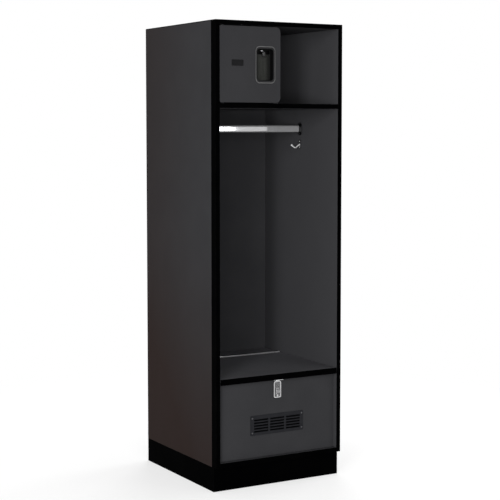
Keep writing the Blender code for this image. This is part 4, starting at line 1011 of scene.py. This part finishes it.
def buildOtherScrews():
    look = otherScrews
    low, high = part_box("vent_grille")
    middleZ = middleOf("vent_grille")[2]
    reachX = (high[0] - low[0]) / 2 - look["ventFromSide"]
    reachZ = (high[2] - low[2]) / 2 - look["ventFromEnd"]
    places = [(x, low[1], middleZ + z) for x in (-reachX, reachX) for z in (-reachZ, reachZ)]
    replaced = ["vent_screw_" + number for number in "1234"]
    screwGroup("ventScrews", places, (0, -1, 0), "large", replaced=replaced)
    places = []
    for node in ("latch_guide_upper", "latch_guide_lower"):
        low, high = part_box(node)
        for x in (low[0] + look["guideFromEnd"], high[0] - look["guideFromEnd"]):
            places.append((x, low[1] + look["guidePlate"], middleOf(node)[2]))
    screwGroup("latchGuideScrews", places, (0, 1, 0), body="security_door")
    low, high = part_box("latch_keeper")
    x, z = high[0] - look["keeperPlate"], middleOf("latch_keeper")[2]
    places = [(x, low[1] + (high[1] - low[1]) * share, z) for share in look["keeperShares"]]
    screwGroup("latchKeeperScrews", places, (-1, 0, 0))
    low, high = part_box("back_panel")
    left, right = low[0] + look["backFromSide"], high[0] - look["backFromSide"]
    gaps = look["backGaps"]
    xs = [left + (right - left) * step / gaps for step in range(gaps + 1)]
    ends = (low[2] + look["backFromEnd"], high[2] - look["backFromEnd"])
    places = [(x, high[1], z) for z in ends for x in xs]
    levels = [low[2] + (high[2] - low[2]) * share for share in look["backShares"]]
    places += [(x, high[1], z) for z in levels for x in (left, right)]
    screwGroup("backPanelScrews", places, (0, 1, 0), "large", darkSteel)


buildCoatRod()
buildCoatHook("left", -1)
buildCoatHook("right", 1)
buildHaspStrap()
buildSeatHinge()
buildCupDetail()
buildNumberPlate()
buildOtherScrews()

# Floor and light
stageLook = {
    "floorSize": 60.0, "floorSeen": (0.96, 0.96, 0.96), "floorBounce": (0.34, 0.34, 0.34),
    "lift": (0.60, 1.0), "liftReach": (0.8, 2.4), "floorRough": (0.85, 0.95), "floorCloud": 0.4,
    "skyDiffuse": 0.22, "target": (0.0, 0.0, 0.96),
}
lampLook = {
    # name: (place, width, height, power, seen in reflections)
    "keySoftbox": ((-4.45, -4.30, 2.4), 1.4, 2.6, 162.0, False),
    "lowSoftbox": ((-4.0, -5.2, 0.95), 1.4, 1.4, 100.0, False),
    "cameraSideSoftbox": ((-3.2, -6.2, 1.4), 1.6, 1.8, 62.0, False),
    "frontFill": ((-1.4, -5.6, 1.5), 2.0, 2.0, 78.0, False),
    "rightFill": ((3.4, -5.0, 2.4), 2.0, 2.2, 34.0, False),
    "backFill": ((2.6, 4.2, 1.8), 2.5, 3.0, 190.0, True),
    "sideFill": ((5.2, 1.2, 1.6), 2.5, 3.0, 190.0, True),
    "topFill": ((0.0, 0.0, 5.2), 2.5, 2.5, 110.0, True),
}
# A narrow card that is only seen in the bright metal
cardLook = {
    "place": (1.065, -2.20, 1.49), "target": (-0.09, -0.02, 1.49), "width": 0.185, "height": 1.2,
    "power": 6.5,
}


def buildFloor(look):
    # White where it is seen, apart from the object's shadow, and grey where it lights the object
    mesh = bpy.data.meshes.new("floor")
    half = look["floorSize"] / 2
    corners = [(-half, -half, 0), (half, -half, 0), (half, half, 0), (-half, half, 0)]
    mesh.from_pydata(corners, [], [(0, 1, 2, 3)])
    floor = bpy.data.objects.new("floor", mesh)
    scene.collection.objects.link(floor)
    finish = Finish("paleFloor")
    seen = finish.add("ShaderNodeLightPath", output="Is Camera Ray")
    rays = seen.output.node.outputs
    for name in ("Is Glossy Ray", "Is Transmission Ray"):
        seen = seen.most(Socket(finish, rays[name]))
    colour = finish.mixed(seen, look["floorBounce"], look["floorSeen"])
    rough = finish.noise(look["floorCloud"]).between(*look["floorRough"])
    finish.finishUp(colour, rough, specular=0.0)
    away = finish.add("ShaderNodeVectorMath", {"operation": "LENGTH"}, {0: finish.place}, "Value")
    lift = away.rise(*look["liftReach"]).between(*look["lift"])
    white = finish.add("ShaderNodeEmission", values={"Color": (1, 1, 1), "Strength": 1.0})
    lit = Socket(finish, finish.shader.outputs[0])
    total = finish.add("ShaderNodeMixShader", values={0: seen * lift, 1: lit, 2: white})
    finish.feed(finish.tree.nodes["Material Output"].inputs["Surface"], total)
    mesh.materials.append(finish.material)


def buildSky(look):
    # White where it is seen, and weaker where it lights the object
    world = bpy.data.worlds.new("studioSky")
    scene.world = world
    world.use_nodes = True
    tree = world.node_tree
    background = tree.nodes["Background"]
    background.inputs["Color"].default_value = (1, 1, 1, 1)
    rays = tree.nodes.new("ShaderNodeLightPath")
    strength = tree.nodes.new("ShaderNodeMapRange")
    for name, value in (("To Min", 1.0), ("To Max", look["skyDiffuse"])):
        strength.inputs[name].default_value = value
    tree.links.new(rays.outputs["Is Diffuse Ray"], strength.inputs["Value"])
    tree.links.new(strength.outputs[0], background.inputs["Strength"])


def buildLamp(name, place, target, width, height, power):
    data = bpy.data.lights.new(name, "AREA")
    data.shape = "RECTANGLE"
    data.size = width
    data.size_y = height
    data.energy = power
    lamp = bpy.data.objects.new(name, data)
    scene.collection.objects.link(lamp)
    lamp.location = place
    ahead = Vector(target) - Vector(place)
    lamp.rotation_euler = ahead.to_track_quat("-Z", "Y").to_euler()
    lamp.visible_camera = False
    return lamp


def buildLamps(lamps, card, target):
    for name, (place, width, height, power, glossy) in lamps.items():
        buildLamp(name, place, target, width, height, power).visible_glossy = glossy
    sizes = card["width"], card["height"], card["power"]
    buildLamp("rodCard", card["place"], card["target"], *sizes).visible_diffuse = False


buildFloor(stageLook)
buildSky(stageLook)
buildLamps(lampLook, cardLook, stageLook["target"])

# Camera at the photograph's angle
cameraLook = {
    "imageSize": 500, "sensor": 36.0, "focalPixels": 1340.8, "yaw": 30.103, "pitch": 4.458,
    "place": (-2.8952, -5.0633, 1.4962), "shiftDown": 0.035,
}


def buildCamera(look):
    data = bpy.data.cameras.new("photoCamera")
    data.sensor_width = look["sensor"]
    data.lens = look["focalPixels"] / look["imageSize"] * look["sensor"]
    data.shift_y = -look["shiftDown"]
    data.dof.use_dof = False
    camera = bpy.data.objects.new("photoCamera", data)
    scene.collection.objects.link(camera)
    camera.location = look["place"]
    camera.rotation_euler = (radians(90 - look["pitch"]), 0, -radians(look["yaw"]))
    scene.camera = camera


buildCamera(cameraLook)
scene.view_settings.view_transform = "Standard"
print("Stage, light and camera in place")
